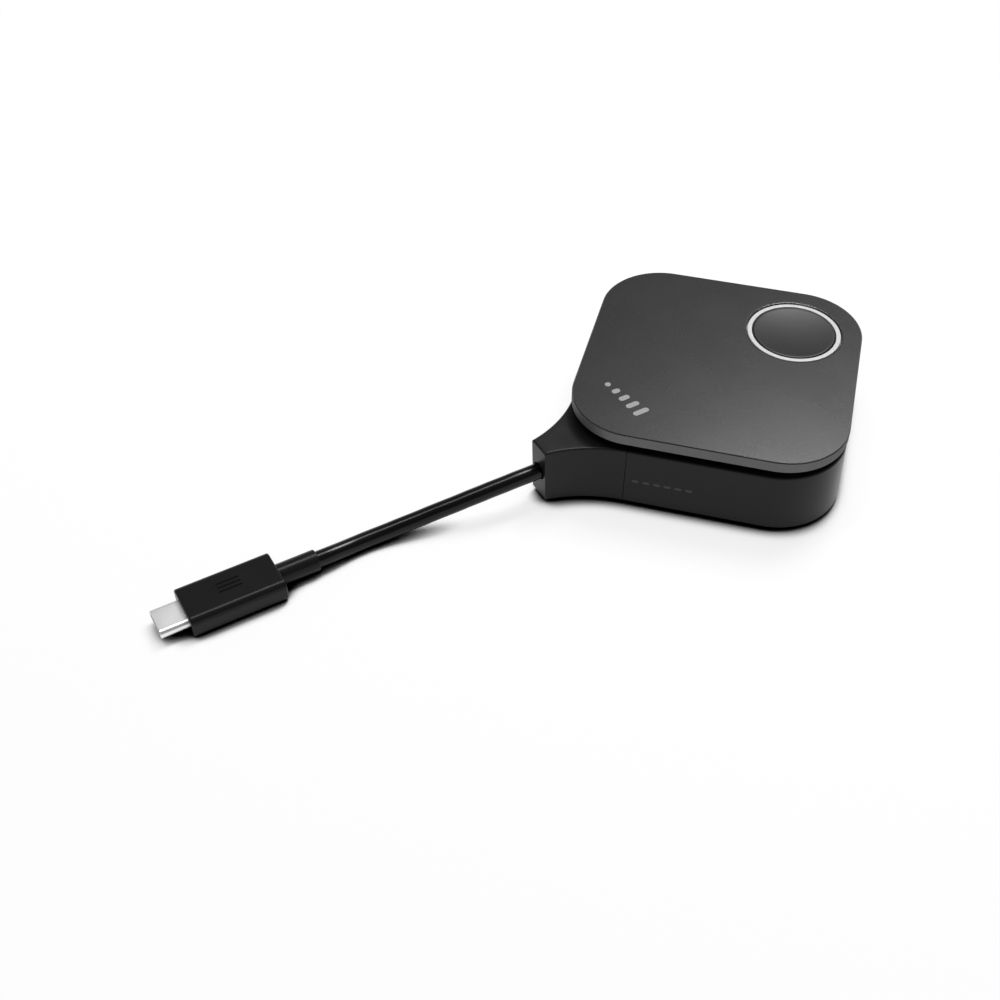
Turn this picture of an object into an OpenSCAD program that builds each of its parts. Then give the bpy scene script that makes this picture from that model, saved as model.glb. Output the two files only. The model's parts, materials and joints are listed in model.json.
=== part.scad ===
// Wireless presentation button: a square puck with a pressable round button and a short lead.
// X runs along the puck's diagonal, with the cable leaving towards minus X. Z is up from the surface.

/* [Puck] */
// Side of the square top plate
plate_side = 67; // [64:0.5:72]
// Corner radius of the top plate
plate_corner = 16.2; // [15:0.1:17.4]
// Height of the puck over the surface
puck_h = 22; // [21.5:0.1:24]
// Height of the dark gap under the top plate
shadow_gap = 2.1; // [1.8:0.1:2.6]
// Height of the wall's lower edge over the surface
wall_lift = 1.4; // [1.2:0.05:1.6]
// How far the wall leans out at its lower edge
wall_flare = 0.65; // [0:0.05:1]
// Corner radius of the housing
housing_corner = 16.9; // [16:0.1:18]
// Thickness of the housing's wall at the rim
wall_t = 1.8; // [1.5:0.1:2]
// Thickness of the housing's deck
deck_t = 1.6; // [1.2:0.1:2]
// Bevel along the housing's rim
rim_bevel = 0.35; // [0.1:0.05:0.6]

/* [Top plate] */
// Height of the plate's edge
plate_edge_h = 2.9; // [2.6:0.1:3.2]
// Thickness of the plate's top
plate_skin = 1.2; // [1:0.05:1.4]
// Width of the plate's edge band
plate_band = 1.5; // [1:0.1:2]
// Bevel along the plate's top edge
plate_bevel = 0.3; // [0.1:0.05:0.5]
// Thickness of the tape under the plate
tape_t = 0.2; // [0.1:0.05:0.3]
// How far the pedestal stands back from the plate's edge
pedestal_inset = 3; // [2.4:0.1:4]
// Width of the pedestal's wall
pedestal_wall = 2; // [1.4:0.1:2.4]

/* [Neck] */
// Distance from the puck's centre to the neck's end
neck_reach = 52.7; // [51:0.1:55]
// Width of the neck's end
neck_end_w = 6; // [5.8:0.1:8]
// How far the neck's end leans in at its lower edge
neck_tuck = 0.5; // [0:0.1:1]
// Distance along a side from its middle to the neck cover's seam
neck_start = 16.6; // [16:0.1:17.2]
// Length of the neck's solid nose
nose_len = 6.7; // [5:0.1:7.2]
// Gap at the neck cover's seam
seam_gap = 0.1; // [0.05:0.05:0.2]
// Height of the cable's axis where it leaves the neck
cable_h = 9; // [8.6:0.1:9.4]

/* [Bottom] */
// Height of the bottom cover's underside
cover_lift = 0.5; // [0.4:0.05:0.7]
// How far the bottom cover stands back from the wall
cover_inset = 1; // [0.6:0.1:1.4]
// Thickness of the bottom cover's floor
cover_floor = 1.6; // [1.4:0.1:1.8]
// Height of the bottom cover's inner lip
lip_h = 1; // [0.6:0.1:1.2]
// Width of the bottom cover's inner lip
lip_w = 1.2; // [0.8:0.1:1.6]
// Side of the square foot pad
pad_side = 50; // [44:1:50]
// Corner radius of the foot pad
pad_corner = 10; // [6:1:14]
// Thickness of the foot pad
pad_t = 1.1; // [0.9:0.05:1.3]

/* [Button] */
// Distance from the light ring's flange to the plate's corner
button_margin = 3.2; // [2.9:0.05:3.6]
// Radius of the button's cap
cap_r = 10.35; // [9.8:0.05:10.4]
// Thickness of the cap
cap_t = 1.8; // [1.5:0.1:2]
// Depth of the cap's dish
dish_depth = 0.5; // [0.2:0.05:0.7]
// Width of the cap's flat edge round the dish
cap_edge = 0.45; // [0.3:0.05:0.8]
// How far the cap lies below the plate's top
cap_sink = 0.1; // [0:0.05:0.3]
// Gap between the cap and the light ring
cap_gap = 0.25; // [0.2:0.05:0.35]
// Width of the light ring's visible face
ring_w = 1.3; // [1.1:0.05:1.5]
// How far the light ring lies below the plate's top
ring_sink = 0.2; // [0.1:0.05:0.4]
// Gap between the light ring and the plate
ring_gap = 0.25; // [0.15:0.05:0.35]
// How far the button can be pressed
travel = 0.5; // [0.3:0.05:0.6]

/* [Lead] */
// Diameter of the cable
cable_d = 4.05; // [3.8:0.05:4.3]
// Gap round the cable in the neck's hole
cable_gap = 0.25; // [0.1:0.05:0.35]
// Diameter of the sleeve behind the plug
sleeve_d = 5.3; // [4.8:0.1:5.8]
// Length of the sleeve behind the plug
sleeve_len = 9.7; // [6:0.1:14]

/* [Plug] */
// Length of the plug's grip
grip_len = 22.9; // [20:0.1:27]
// Width of the plug's grip
grip_w = 12.1; // [11.4:0.1:13]
// Thickness of the plug's grip
grip_t = 6; // [5.6:0.1:6.4]
// Radius of the grip's long edges
grip_corner = 1.8; // [1:0.1:2.4]
// Bevel at the grip's ends
grip_bevel = 0.35; // [0.2:0.05:0.6]
// Width of the metal shell
shell_w = 8.25; // [8.2:0.05:8.35]
// Height of the metal shell
shell_h = 2.4; // [2.3:0.05:2.56]
// Length of the metal shell outside the grip
shell_out = 6.65; // [6.2:0.05:7]
// Length of the metal shell inside the grip
shell_in = 5; // [4:0.1:6]
// Thickness of the metal shell
shell_t = 0.25; // [0.2:0.05:0.3]

/* [Electronics] */
// Height of the main board's underside
board_z = 5; // [4.6:0.1:5.2]
// Thickness of the main board
board_t = 1.2; // [1:0.1:1.3]
// Side of the square main board
board_side = 56; // [52:1:58]
// Corner radius of the main board
board_corner = 12; // [10:0.5:14]
// Side of the processor
chip_side = 14; // [10:0.5:16]
// Height of the processor
chip_h = 1.3; // [1:0.1:1.4]
// Side of the heat spreader
spreader_side = 24; // [20:0.5:25]
// Thickness of the heat spreader
spreader_t = 1.2; // [0.8:0.1:1.3]
// Thickness of the thermal pad
thermal_t = 0.6; // [0.4:0.1:0.7]
// Length of the radio module
radio_len = 14; // [12:0.5:15]
// Width of the radio module
radio_w = 12; // [10:0.5:13]
// Length of an antenna
antenna_len = 12; // [8:0.5:14]
// Height of an antenna
antenna_h = 5; // [3:0.5:6]

/* [Hidden] */
$fn = 64;

// Points of the cable's free stretch, from the neck's end to the plug's sleeve
cable_route = [
    [-52.7, 0, 9], [-56, 0, 9], [-59, 0.1, 8.95], [-62, 0.3, 8.7], [-65, 0.7, 8.3],
    [-68, 1.2, 7.7], [-71, 1.75, 7.1], [-74, 2.4, 6.3], [-77, 3.1, 5.55], [-80.5, 3.9, 4.65],
    [-84, 4.6, 3.8], [-87.5, 5.25, 3.1], [-91, 5.75, 2.5], [-94, 6.05, 2.2], [-97, 6.15, 2.1],
    [-100, 6.05, 2.15], [-103, 5.75, 2.45], [-106, 5.4, 2.85], [-109.4, 5.3, 3]
];
// Route points between one ring of the cable's tube and the next
ring_step = 3;
// Sides of the cable's tube and of thin wires
cable_sides = 12;
wire_sides = 6;
// Steps along a round corner, and along one side of the neck
corner_steps = 14;
neck_steps = 12;
grip_steps = 5;
dish_steps = 8;
// How far a cut runs past what it cuts
overrun = 1;
// Gaps of parts that fit into one another, and of parts moulded on one another
fit_gap = 0.2;
slip = 0.02;

// Heights that the sizes above give
rim_z = puck_h - plate_edge_h - shadow_gap;
deck_z = rim_z - deck_t;
plate_z = puck_h - plate_edge_h;
tape_z = puck_h - plate_skin - tape_t;
floor_z = cover_lift + cover_floor;
rim_half = plate_side / 2;
foot_half = rim_half + wall_flare;
foot_reach = neck_reach - neck_tuck;
corner_x = (rim_half - housing_corner) * sqrt(2);
plate_reach = (rim_half - plate_corner) * sqrt(2) + plate_corner;

// Screws: shank and head radius, head height, lengths, recess for the driver
screw_r = 1;
head_r = 1.9;
head_h = 1.3;
head_gap = 0.3;
recess_w = 0.5;
recess_d = 0.6;
shank_gap = 0.15;
cover_screw_len = 8;
frame_screw_len = 5;
board_screw_len = 3.4;
pilot_spare = 0.8;

// Bosses that take the cover's screws: radius, foot height, distance of those at the sides and the neck
boss_r = 2.6;
boss_wall = 0.8;
boss_lift = 1.3;
boss_reach = 29.4;
neck_boss_x = 34;
neck_boss_y = 6.5;
boss_z = floor_z + boss_lift;
boss_places = concat(
    [for (a = [45:90:315]) boss_reach * [cos(a), sin(a)]],
    [[-neck_boss_x, neck_boss_y], [-neck_boss_x, -neck_boss_y]]);

// Light ring and its skirt, which carries the light down to the lamps
ring_r = cap_r + cap_gap + ring_w;
hole_r = ring_r + ring_gap;
skirt_out = 1.3;
skirt_r = ring_r + skirt_out;
skirt_wall = 1.6;
flange_w = 1;
flange_h = 1;
button_x = plate_reach - button_margin - skirt_r - flange_w;
stop_drop = 3.8;
stop_z = puck_h - stop_drop;
skirt_lift = 1.2;
skirt_foot_w = 1.6;
skirt_feet = 4;
hole_bevel = 0.25;

// Well that holds the button's board: the board's depth below the top, its margin, ledge and walls
button_board_t = 1;
button_board_drop = 11;
button_board_margin = 0.6;
button_board_r = skirt_r + button_board_margin;
button_board_z = puck_h - button_board_drop;
well_r = button_board_r + fit_gap;
well_wall = 1.6;
ledge_w = 1.2;
ledge_t = 1.4;
well_z = button_board_z - ledge_t;
button_top_z = button_board_z + button_board_t;

// Screws that hold the frame to the deck, the last one beside the well
well_screw_margin = 2.15;
frame_screw_places = [[-26, 0], [0, 27], [0, -27], [button_x - well_r - well_wall - well_screw_margin, 0]];

// Carrier below the cap
carrier_inset = 0.15;
carrier_flange_gap = 0.5;
carrier_flange_r = skirt_r - skirt_wall - carrier_flange_gap;
carrier_flange_h = 1.1;
stop_gap = 0.1;
carrier_flange_z = stop_z - stop_gap - carrier_flange_h;
cap_z = puck_h - cap_sink - cap_t;
cap_bevel = 0.2;
carrier_lip = 1.5;
carrier_pocket_h = 1.9;
pusher_r = 2.2;
pusher_h = 0.5;

// Push switch and return spring
switch_side = 6;
switch_h = 3.4;
switch_cover_t = 0.3;
stem_r = 1.7;
stem_gap = 0.1;
stem_top_z = carrier_flange_z - pusher_h;
switch_floor = 0.7;
stem_len = stem_top_z - button_top_z - switch_floor - travel - slip;
spring_r = 5;
spring_wire = 0.6;
spring_turns = 4;
spring_steps = 10;
spring_gap = 0.9;
carrier_pocket_r = [spring_r + spring_wire / 2 + spring_gap, carrier_flange_r - carrier_lip];

// Lamps under the ring
led_size = [1.2, 2, 0.8];
led_count = 8;

// Connector of the lead on the main board
header_size = [4.2, 9, 3.2];
header_x = 27.6;
header_plug_size = [2.8, 8.4, 2.8];
wire_d = 0.7;
wire_count = 5;
wire_pitch = [0.8, 1.5];
wire_stub = 0.6;

// Strain relief between the neck's nose and the connector, and the ribs that hold its flange
relief_room_len = neck_reach - nose_len - header_x - header_plug_size[0];
relief_len_share = 0.545;
relief_flange_share = 0.55;
lead_spare_share = 0.1;
relief_gap = 1;
relief_d = 5.8;
relief_len = relief_len_share * relief_room_len;
relief_flange_d = 8;
relief_flange_t = 1.4;
rib_t = 1.4;
relief_x = -(neck_reach - nose_len - relief_gap);
relief_flange_x = relief_x + relief_flange_share * relief_len;
lead_end_x = relief_x + relief_len + lead_spare_share * relief_room_len;
lead_len = neck_reach + lead_end_x;
rib_places = [relief_flange_x - fit_gap - rib_t, relief_flange_x + relief_flange_t + fit_gap];

// Tabs of the neck cover that reach behind the housing's wall
tab_len = 4;
tab_t = 1.2;
tab_z = 5;
tab_drop = 2.4;
tab_h = deck_z - tab_z - tab_drop;

// Main board: screws and standoffs, in the board's own directions
board_screw_places = [[22, -22], [-22, 22], [22, 22], [-24, -8], [-8, -24]];
standoff_r = 2.1;
board_gap = 0.5;
board_top = board_z + board_t;
chip_place = [-3, -3];
thermal_side = 12;
memory_size = [8, 10, 0.9];
memory_places = [[16, -13], [16, -1]];
coil_side = 4;
coil_h = 2;
coil_corner = 0.8;
coil_places = [[-22, 4], [-22, -1], [-17.4, 1.5]];
capacitor_size = [2, 1.25, 1.1];
capacitor_pitch = 2.6;
capacitor_places = [[-1, -22], [-1, -18.5]];
capacitor_count = 5;

// Radio module, its shield and the antennas
radio_place = [-12, 18];
radio_t = 0.8;
shield_size = [12, 8.6, 1.8];
shield_inset = 0.8;
shield_wall = 0.25;
antenna_t = 0.6;
antenna_drop = 1.4;
antenna_z = deck_z - antenna_drop - antenna_h;
antenna_y = corner_x + sqrt(pow(housing_corner - wall_t, 2) - pow(antenna_len / 2, 2)) - fit_gap;
lead_r = 0.55;
lead_plug_r = 1;
lead_plug_h = 1;
lead_plug_places = [[-14.5, 22.9], [-8.5, 22.9]];

// Ribbon between the boards, in the board's own directions
button_uv = button_x * cos(45);
ribbon_w = 5;
ribbon_t = 0.3;
ribbon_stub = 1.5;
socket_size = [2.4, 6, 1];
upper_socket_u = 6;
lower_socket_u = 17;

// Plug: places along X, counted from the end of the cable's route
sleeve_x = cable_route[len(cable_route) - 1][0];
plug_y = cable_route[len(cable_route) - 1][1];
plug_z = grip_t / 2;
grip_x = sleeve_x - sleeve_len;
grip_front_x = grip_x - grip_len;
shell_tip_x = grip_front_x - shell_out;
shell_rear_x = grip_front_x + shell_in;
sleeve_bevel = 0.3;
tail_len = 14;
slot_w = 6.7;
slot_h = 0.85;
slot_depth = 6.2;
insulator_inset = 0.3;
contact_size = [4.6, 0.25, 0.12];
contact_pitch = 0.5;
contact_count = 12;
card_size = [11, 8, 0.8];
pocket_w = 9.4;
pocket_h = 3.6;
grip_wall = 1.2;

// Points along an arc, both ends included
function arc(centre, r, a0, a1, steps) = [
    for (i = [0:steps])
        let (a = a0 + (a1 - a0) * i / steps)
        centre + r * [cos(a), sin(a)]
];

// Where the neck's arc leaves the straight wall, the arc's radius and its centre
function neck_foot(half) = -cos(45) * [half + neck_start, half - neck_start];
function neck_radius(half, reach) =
    let (run = [-reach, -neck_end_w / 2] - neck_foot(half))
    -(run * run) / (2 * cos(45) * (run[0] + run[1]));
function neck_centre(half, reach) = neck_foot(half) - neck_radius(half, reach) * cos(45) * [1, 1];

// Half the neck's width at a distance from the puck's centre, drawn in by a depth
function neck_half(distance, inset) =
    let (centre = neck_centre(rim_half, neck_reach), r = neck_radius(rim_half, neck_reach) + inset)
    -centre[1] - sqrt(r * r - pow(distance + centre[0], 2));

// Outline of the housing with its neck, drawn in by a depth and cut off at the tip
function housing_outline(half, reach, tip, inset) =
    let (
        r = housing_corner - inset,
        d = (half - housing_corner) * sqrt(2),
        centre = neck_centre(half, reach),
        neck_r = neck_radius(half, reach) + inset,
        end = acos((-tip - centre[0]) / neck_r))
    concat(
        arc([d, 0], r, -45, 45, corner_steps),
        arc([0, d], r, 45, 135, corner_steps),
        arc([centre[0], -centre[1]], neck_r, -45, -end, neck_steps),
        arc(centre, neck_r, end, 45, neck_steps),
        arc([0, -d], r, 225, 315, corner_steps));

// Outline of a square with round corners, its corners on the axes
function diamond_outline(half, r) =
    let (d = (half - r) * sqrt(2))
    [for (a = [0:90:270]) each arc(d * [cos(a), sin(a)], r, a - 45, a + 45, corner_steps)];

// Outline of the plug's grip across its length
function grip_outline(inset) =
    let (w = grip_w / 2 - grip_corner, h = grip_t / 2 - grip_corner)
    [for (k = [0:3])
        let (sx = (k == 0 || k == 3) ? 1 : -1, sy = k < 2 ? 1 : -1)
        each arc([sx * w, sy * h], grip_corner - inset, k * 90, k * 90 + 90, grip_steps)];

// Faces of a tube of rings with equal point counts
function ring_faces(n, m) = concat(
    [[for (i = [0:n - 1]) i]],
    [for (k = [0:m - 2]) for (i = [0:n - 1])
        let (a = k * n + i, b = k * n + (i + 1) % n)
        each [[a, b + n, b], [a, a + n, b + n]]],
    [[for (i = [n - 1:-1:0]) (m - 1) * n + i]]);

// Direction of a route at one of its points
function heading(route, i, first, last) =
    i == 0 ? first : (i == len(route) - 1 ? last :
        let (d = route[i + 1] - route[i - 1]) d / norm(d));

// Points of a round tube along a route, its rings square to the route
function tube_points(route, r, sides, first, last) = [
    for (i = [0:len(route) - 1])
        let (t = heading(route, i, first, last), across = cross([0, 0, 1], t), side = across / norm(across),
            rise = cross(t, side))
        for (k = [0:sides - 1])
            route[i] + r * (side * cos((k + 0.5) * 360 / sides) + rise * sin((k + 0.5) * 360 / sides))
];

// A solid through outlines stacked at the given heights
module loft(outlines, heights) {
    points = [for (k = [0:len(outlines) - 1]) for (p = outlines[k]) [p[0], p[1], heights[k]]];
    polyhedron(points, ring_faces(len(outlines[0]), len(outlines)));
}

// A round tube along a route
module tube(route, r, sides, first, last) {
    polyhedron(tube_points(route, r, sides, first, last), ring_faces(sides, len(route)));
}

// A block with the outline of a diamond with round corners
module diamond_block(half, r, z, h) {
    translate([0, 0, z])
        linear_extrude(h) polygon(diamond_outline(half, r));
}

// A box set by its middle, its foot height and its size
module box(place, z, size) {
    translate([place[0] - size[0] / 2, place[1] - size[1] / 2, z]) cube(size);
}

// Turns the board's own directions to the puck's
module board_turn() {
    rotate([0, 0, -45]) children();
}

// A flat bar with round sides, lying along X
module stadium_bar(w, h, x, len) {
    translate([x, 0, 0]) rotate([0, 90, 0]) {
        for (s = [-1, 1]) translate([0, s * (w - h) / 2, 0]) cylinder(r = h / 2, h = len);
        translate([-h / 2, -(w - h) / 2, 0]) cube([h, w - h, len]);
    }
}

// A pan head screw with a crossed recess, its head's underside at the origin and its shank upwards
module screw(len) {
    difference() {
        union() {
            cylinder(r = screw_r, h = len);
            translate([0, 0, -head_h]) cylinder(r = head_r, h = head_h);
        }
        for (a = [0, 90]) rotate([0, 0, a])
            translate([-head_r / 2, -recess_w / 2, -head_h - overrun])
                cube([head_r, recess_w, recess_d + overrun]);
    }
}

// Housing

// The whole outer skin, from which the housing and the neck cover are cut
module skin() {
    crown = rim_bevel + overrun;
    difference() {
        loft([
            housing_outline(foot_half, foot_reach, foot_reach, 0),
            housing_outline(rim_half, neck_reach, neck_reach, 0),
            housing_outline(rim_half, neck_reach, neck_reach - crown, crown)
        ], [wall_lift, rim_z - rim_bevel, rim_z + overrun]);
        box([0, 0], rim_z, [2 * neck_reach, 2 * neck_reach, 2 * overrun]);
        translate([0, 0, wall_lift - overrun])
            linear_extrude(deck_z - wall_lift + overrun)
                polygon(housing_outline(rim_half, neck_reach, neck_reach - nose_len, wall_t));
    }
}

// The corner of the puck that the neck cover takes, grown by a gap
module neck_corner(gap) {
    board_turn()
        translate([-neck_reach, -neck_reach, -overrun])
            cube([neck_reach - neck_start + gap, neck_reach - neck_start + gap, puck_h]);
}

module boss(place) {
    translate([place[0], place[1], boss_z]) cylinder(r = boss_r, h = deck_z - boss_z + deck_t / 2);
}

module boss_pilot(place) {
    translate([place[0], place[1], boss_z - overrun])
        cylinder(r = screw_r + slip, h = cover_screw_len + overrun);
}

module base_shell() {
    color("#272727") difference() {
        union() {
            difference() {
                skin();
                neck_corner(seam_gap / 2);
            }
            for (i = [0:3]) boss(boss_places[i]);
            translate([button_x, 0, well_z])
                cylinder(r = well_r + well_wall, h = rim_z - deck_t / 2 - well_z);
        }
        for (i = [0:3]) boss_pilot(boss_places[i]);
        translate([button_x, 0, button_board_z]) cylinder(r = well_r, h = rim_z - button_board_z + overrun);
        translate([button_x, 0, well_z - overrun])
            cylinder(r = well_r - ledge_w, h = ledge_t + 2 * overrun);
        for (i = [1:3]) deck_hole(frame_screw_places[i]);
    }
}

module deck_hole(place) {
    translate([place[0], place[1], deck_z - overrun])
        cylinder(r = screw_r + shank_gap, h = deck_t + 2 * overrun);
}

// A rib across the neck, from one height to another
module neck_rib(x, z0, z1) {
    w = 2 * (neck_half(-x, wall_t) - fit_gap);
    translate([x, -w / 2, z0]) cube([rib_t, w, z1 - z0]);
}

// Room for the strain relief and its flange between the ribs
module relief_room() {
    translate([relief_x - relief_gap / 2, 0, cable_h]) rotate([0, 90, 0])
        cylinder(r = relief_d / 2 + slip, h = relief_len + relief_gap);
    translate([relief_flange_x - fit_gap, 0, cable_h]) rotate([0, 90, 0])
        cylinder(r = relief_flange_d / 2 + fit_gap, h = relief_flange_t + 2 * fit_gap);
}

module neck_cover() {
    color("#2b2b2b") difference() {
        union() {
            difference() {
                intersection() {
                    skin();
                    neck_corner(-seam_gap / 2);
                }
                translate([-neck_reach - overrun, 0, cable_h]) rotate([0, 90, 0])
                    cylinder(r = cable_d / 2 + cable_gap, h = nose_len + 2 * overrun);
            }
            for (i = [4:5]) boss(boss_places[i]);
            for (x = rib_places) neck_rib(x, cable_h + slip, deck_z + deck_t / 2);
            for (s = [-1, 1]) neck_tab(s);
        }
        for (i = [4:5]) boss_pilot(boss_places[i]);
        relief_room();
        deck_hole(frame_screw_places[0]);
    }
}

// A tab that starts on the neck cover's wall and reaches behind the housing's wall
module neck_tab(s) {
    y = rim_half - wall_t - tab_t - fit_gap;
    mirror([0, s > 0 ? 1 : 0, 0]) board_turn() {
        translate([-neck_start - tab_len, -y - tab_t, tab_z]) cube([2 * tab_len, tab_t, tab_h]);
        translate([-neck_start - tab_len, -y - tab_t - 2 * fit_gap, tab_z])
            cube([tab_len - seam_gap - fit_gap, tab_t, tab_h]);
    }
}

module bottom_cover() {
    tip = neck_reach - nose_len - fit_gap;
    edge = wall_t + fit_gap;
    room = housing_outline(rim_half, neck_reach, tip, edge);
    lip_room = housing_outline(rim_half, neck_reach, tip - lip_w, edge + lip_w);
    color("#121212") difference() {
        union() {
            translate([0, 0, cover_lift]) linear_extrude(wall_lift - cover_lift)
                polygon(housing_outline(foot_half, foot_reach, foot_reach - cover_inset, cover_inset));
            translate([0, 0, cover_lift]) linear_extrude(cover_floor) polygon(room);
            difference() {
                translate([0, 0, floor_z]) linear_extrude(lip_h) polygon(room);
                translate([0, 0, floor_z]) linear_extrude(lip_h + overrun) polygon(lip_room);
            }
            intersection() {
                union() {
                    for (p = boss_places) translate([p[0], p[1], cover_lift])
                        cylinder(r = head_r + head_gap + boss_wall, h = boss_z - cover_lift);
                }
                translate([0, 0, cover_lift]) linear_extrude(boss_z) polygon(room);
            }
            board_turn() for (p = board_screw_places) translate([p[0], p[1], cover_lift])
                cylinder(r = standoff_r, h = board_z - cover_lift);
            for (x = rib_places) neck_rib(x, cover_lift, cable_h);
        }
        diamond_block(pad_side / 2 + fit_gap, pad_corner + fit_gap,
            cover_lift - overrun, pad_t - cover_lift + overrun);
        for (p = boss_places) translate([p[0], p[1], cover_lift - overrun]) {
            cylinder(r = head_r + head_gap, h = cover_floor + overrun);
            cylinder(r = screw_r + shank_gap, h = boss_z + overrun);
        }
        board_turn() for (p = board_screw_places) translate([p[0], p[1], board_top - board_screw_len])
            cylinder(r = screw_r + slip, h = board_screw_len);
        relief_room();
    }
}

module foot_pad() {
    color("#1c1c1c") diamond_block(pad_side / 2, pad_corner, 0, pad_t);
}

module cover_screws() {
    color("#9a9a9c") for (p = boss_places)
        translate([p[0], p[1], floor_z]) screw(boss_z - floor_z + cover_screw_len - pilot_spare);
}

// Top frame and plate

module top_frame() {
    color("#0d0d0d") difference() {
        union() {
            difference() {
                diamond_block(rim_half - pedestal_inset, plate_corner - pedestal_inset,
                    rim_z, plate_z - rim_z);
                diamond_block(rim_half - pedestal_inset - pedestal_wall,
                    plate_corner - pedestal_inset - pedestal_wall,
                    rim_z - overrun, plate_z - rim_z + overrun);
            }
            diamond_block(rim_half - plate_band - fit_gap, plate_corner - plate_band - fit_gap,
                plate_z, tape_z - plate_z);
            for (p = frame_screw_places) translate([p[0], p[1], rim_z])
                cylinder(r = boss_r, h = plate_z - rim_z);
        }
        for (p = frame_screw_places) translate([p[0], p[1], rim_z - overrun])
            cylinder(r = screw_r + slip, h = overrun + frame_screw_len - deck_t);
        translate([button_x, 0, rim_z - overrun]) cylinder(r = skirt_r + fit_gap, h = puck_h);
        translate([button_x, 0, tape_z - flange_h])
            cylinder(r = skirt_r + flange_w + fit_gap, h = flange_h + overrun);
    }
}

module frame_screws() {
    color("#9a9a9c") for (p = frame_screw_places)
        translate([p[0], p[1], deck_z]) screw(frame_screw_len - fit_gap);
}

module top_plate() {
    color("#56575a") difference() {
        loft([
            diamond_outline(rim_half, plate_corner),
            diamond_outline(rim_half, plate_corner),
            diamond_outline(rim_half - plate_bevel, plate_corner - plate_bevel)
        ], [plate_z, puck_h - plate_bevel, puck_h]);
        diamond_block(rim_half - plate_band, plate_corner - plate_band, plate_z - overrun,
            plate_edge_h - plate_skin + overrun);
        translate([button_x, 0, plate_z]) cylinder(r = hole_r, h = plate_edge_h + overrun);
        translate([button_x, 0, puck_h - hole_bevel])
            cylinder(r1 = hole_r, r2 = hole_r + hole_bevel + overrun, h = hole_bevel + overrun);
    }
}

module plate_tape() {
    color("#b9b4a6") difference() {
        diamond_block(rim_half - plate_band - 2 * fit_gap, plate_corner - plate_band - 2 * fit_gap,
            tape_z, tape_t);
        translate([button_x, 0, tape_z - overrun])
            cylinder(r = skirt_r + flange_w + fit_gap, h = tape_t + 2 * overrun);
    }
}

// Button

module light_ring() {
    top_z = puck_h - ring_sink;
    foot_z = button_top_z + skirt_lift;
    bore_r = skirt_r - skirt_wall;
    color("#d9d9d6") translate([button_x, 0, 0]) {
        rotate_extrude($fn = 128) polygon([
            [cap_r + cap_gap, top_z], [cap_r + cap_gap, stop_z], [bore_r, stop_z], [bore_r, foot_z],
            [skirt_r, foot_z], [skirt_r, tape_z - flange_h], [skirt_r + flange_w, tape_z - flange_h],
            [skirt_r + flange_w, tape_z], [ring_r, tape_z], [ring_r, top_z]
        ]);
        intersection() {
            translate([0, 0, button_top_z]) difference() {
                cylinder(r = skirt_r, h = skirt_lift + skirt_wall);
                translate([0, 0, -overrun]) cylinder(r = bore_r, h = skirt_lift + skirt_wall + 2 * overrun);
            }
            union() {
                for (a = [0:360 / skirt_feet:359]) rotate([0, 0, a])
                    translate([0, -skirt_foot_w / 2, button_top_z])
                        cube([skirt_r, skirt_foot_w, skirt_lift + skirt_wall]);
            }
        }
    }
}

// Height of the dish at a distance from the button's axis, over its deepest point
function dish_rise(r, rim) =
    let (ball = (rim * rim + dish_depth * dish_depth) / (2 * dish_depth))
    ball - sqrt(ball * ball - r * r);

module button_cap() {
    rim = cap_r - cap_edge;
    top_z = cap_z + cap_t;
    color("#4e4f52") translate([button_x, 0, 0]) rotate_extrude($fn = 128) polygon(concat(
        [[0, cap_z], [cap_r, cap_z], [cap_r, top_z - cap_bevel], [cap_r - cap_bevel, top_z]],
        [for (i = [dish_steps:-1:0])
            let (r = rim * i / dish_steps)
            [r, top_z - dish_depth + dish_rise(r, rim)]]));
}

module button_carrier() {
    hub_r = cap_r - carrier_inset;
    color("#1a1a1a") translate([button_x, 0, 0]) rotate_extrude($fn = 96) polygon([
        [0, stem_top_z], [pusher_r, stem_top_z], [pusher_r, carrier_flange_z],
        [carrier_pocket_r[0], carrier_flange_z], [carrier_pocket_r[0], carrier_flange_z + carrier_pocket_h],
        [carrier_pocket_r[1], carrier_flange_z + carrier_pocket_h], [carrier_pocket_r[1], carrier_flange_z],
        [carrier_flange_r, carrier_flange_z], [carrier_flange_r, carrier_flange_z + carrier_flange_h],
        [hub_r, carrier_flange_z + carrier_flange_h], [hub_r, cap_z], [0, cap_z]
    ]);
}

module return_spring() {
    lift = spring_wire / 2 + slip;
    rise = carrier_flange_z - button_top_z - 2 * lift;
    steps = spring_turns * spring_steps;
    coil = [for (i = [0:steps])
        let (a = 360 * i / spring_steps)
        [button_x + spring_r * cos(a), spring_r * sin(a), button_top_z + lift + rise * i / steps]];
    color("#c4c6c8") tube(coil, spring_wire / 2, wire_sides, [0, 1, 0], [0, 1, 0]);
}

module button_board() {
    color("#1e5a38") difference() {
        translate([button_x, 0, button_board_z]) cylinder(r = button_board_r, h = button_board_t);
        for (sx = [-1, 1], sy = [-1, 1])
            translate([button_x + sx * switch_side / 2, sy * switch_side / 3, button_board_z - overrun])
                cylinder(r = wire_d / 2, h = button_board_t + 2 * overrun);
    }
}

module switch_body() {
    color("#2a2a2c") difference() {
        box([button_x, 0], button_top_z, [switch_side, switch_side, switch_h]);
        translate([button_x, 0, button_top_z + switch_floor]) cylinder(r = stem_r + stem_gap, h = switch_h);
    }
}

module switch_cover() {
    color("#c8cacc") difference() {
        box([button_x, 0], button_top_z + switch_h, [switch_side, switch_side, switch_cover_t]);
        translate([button_x, 0, button_top_z]) cylinder(r = stem_r + 2 * stem_gap, h = switch_h + overrun);
    }
}

module switch_stem() {
    color("#d8d4c8") translate([button_x, 0, stem_top_z - stem_len]) cylinder(r = stem_r, h = stem_len);
}

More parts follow.
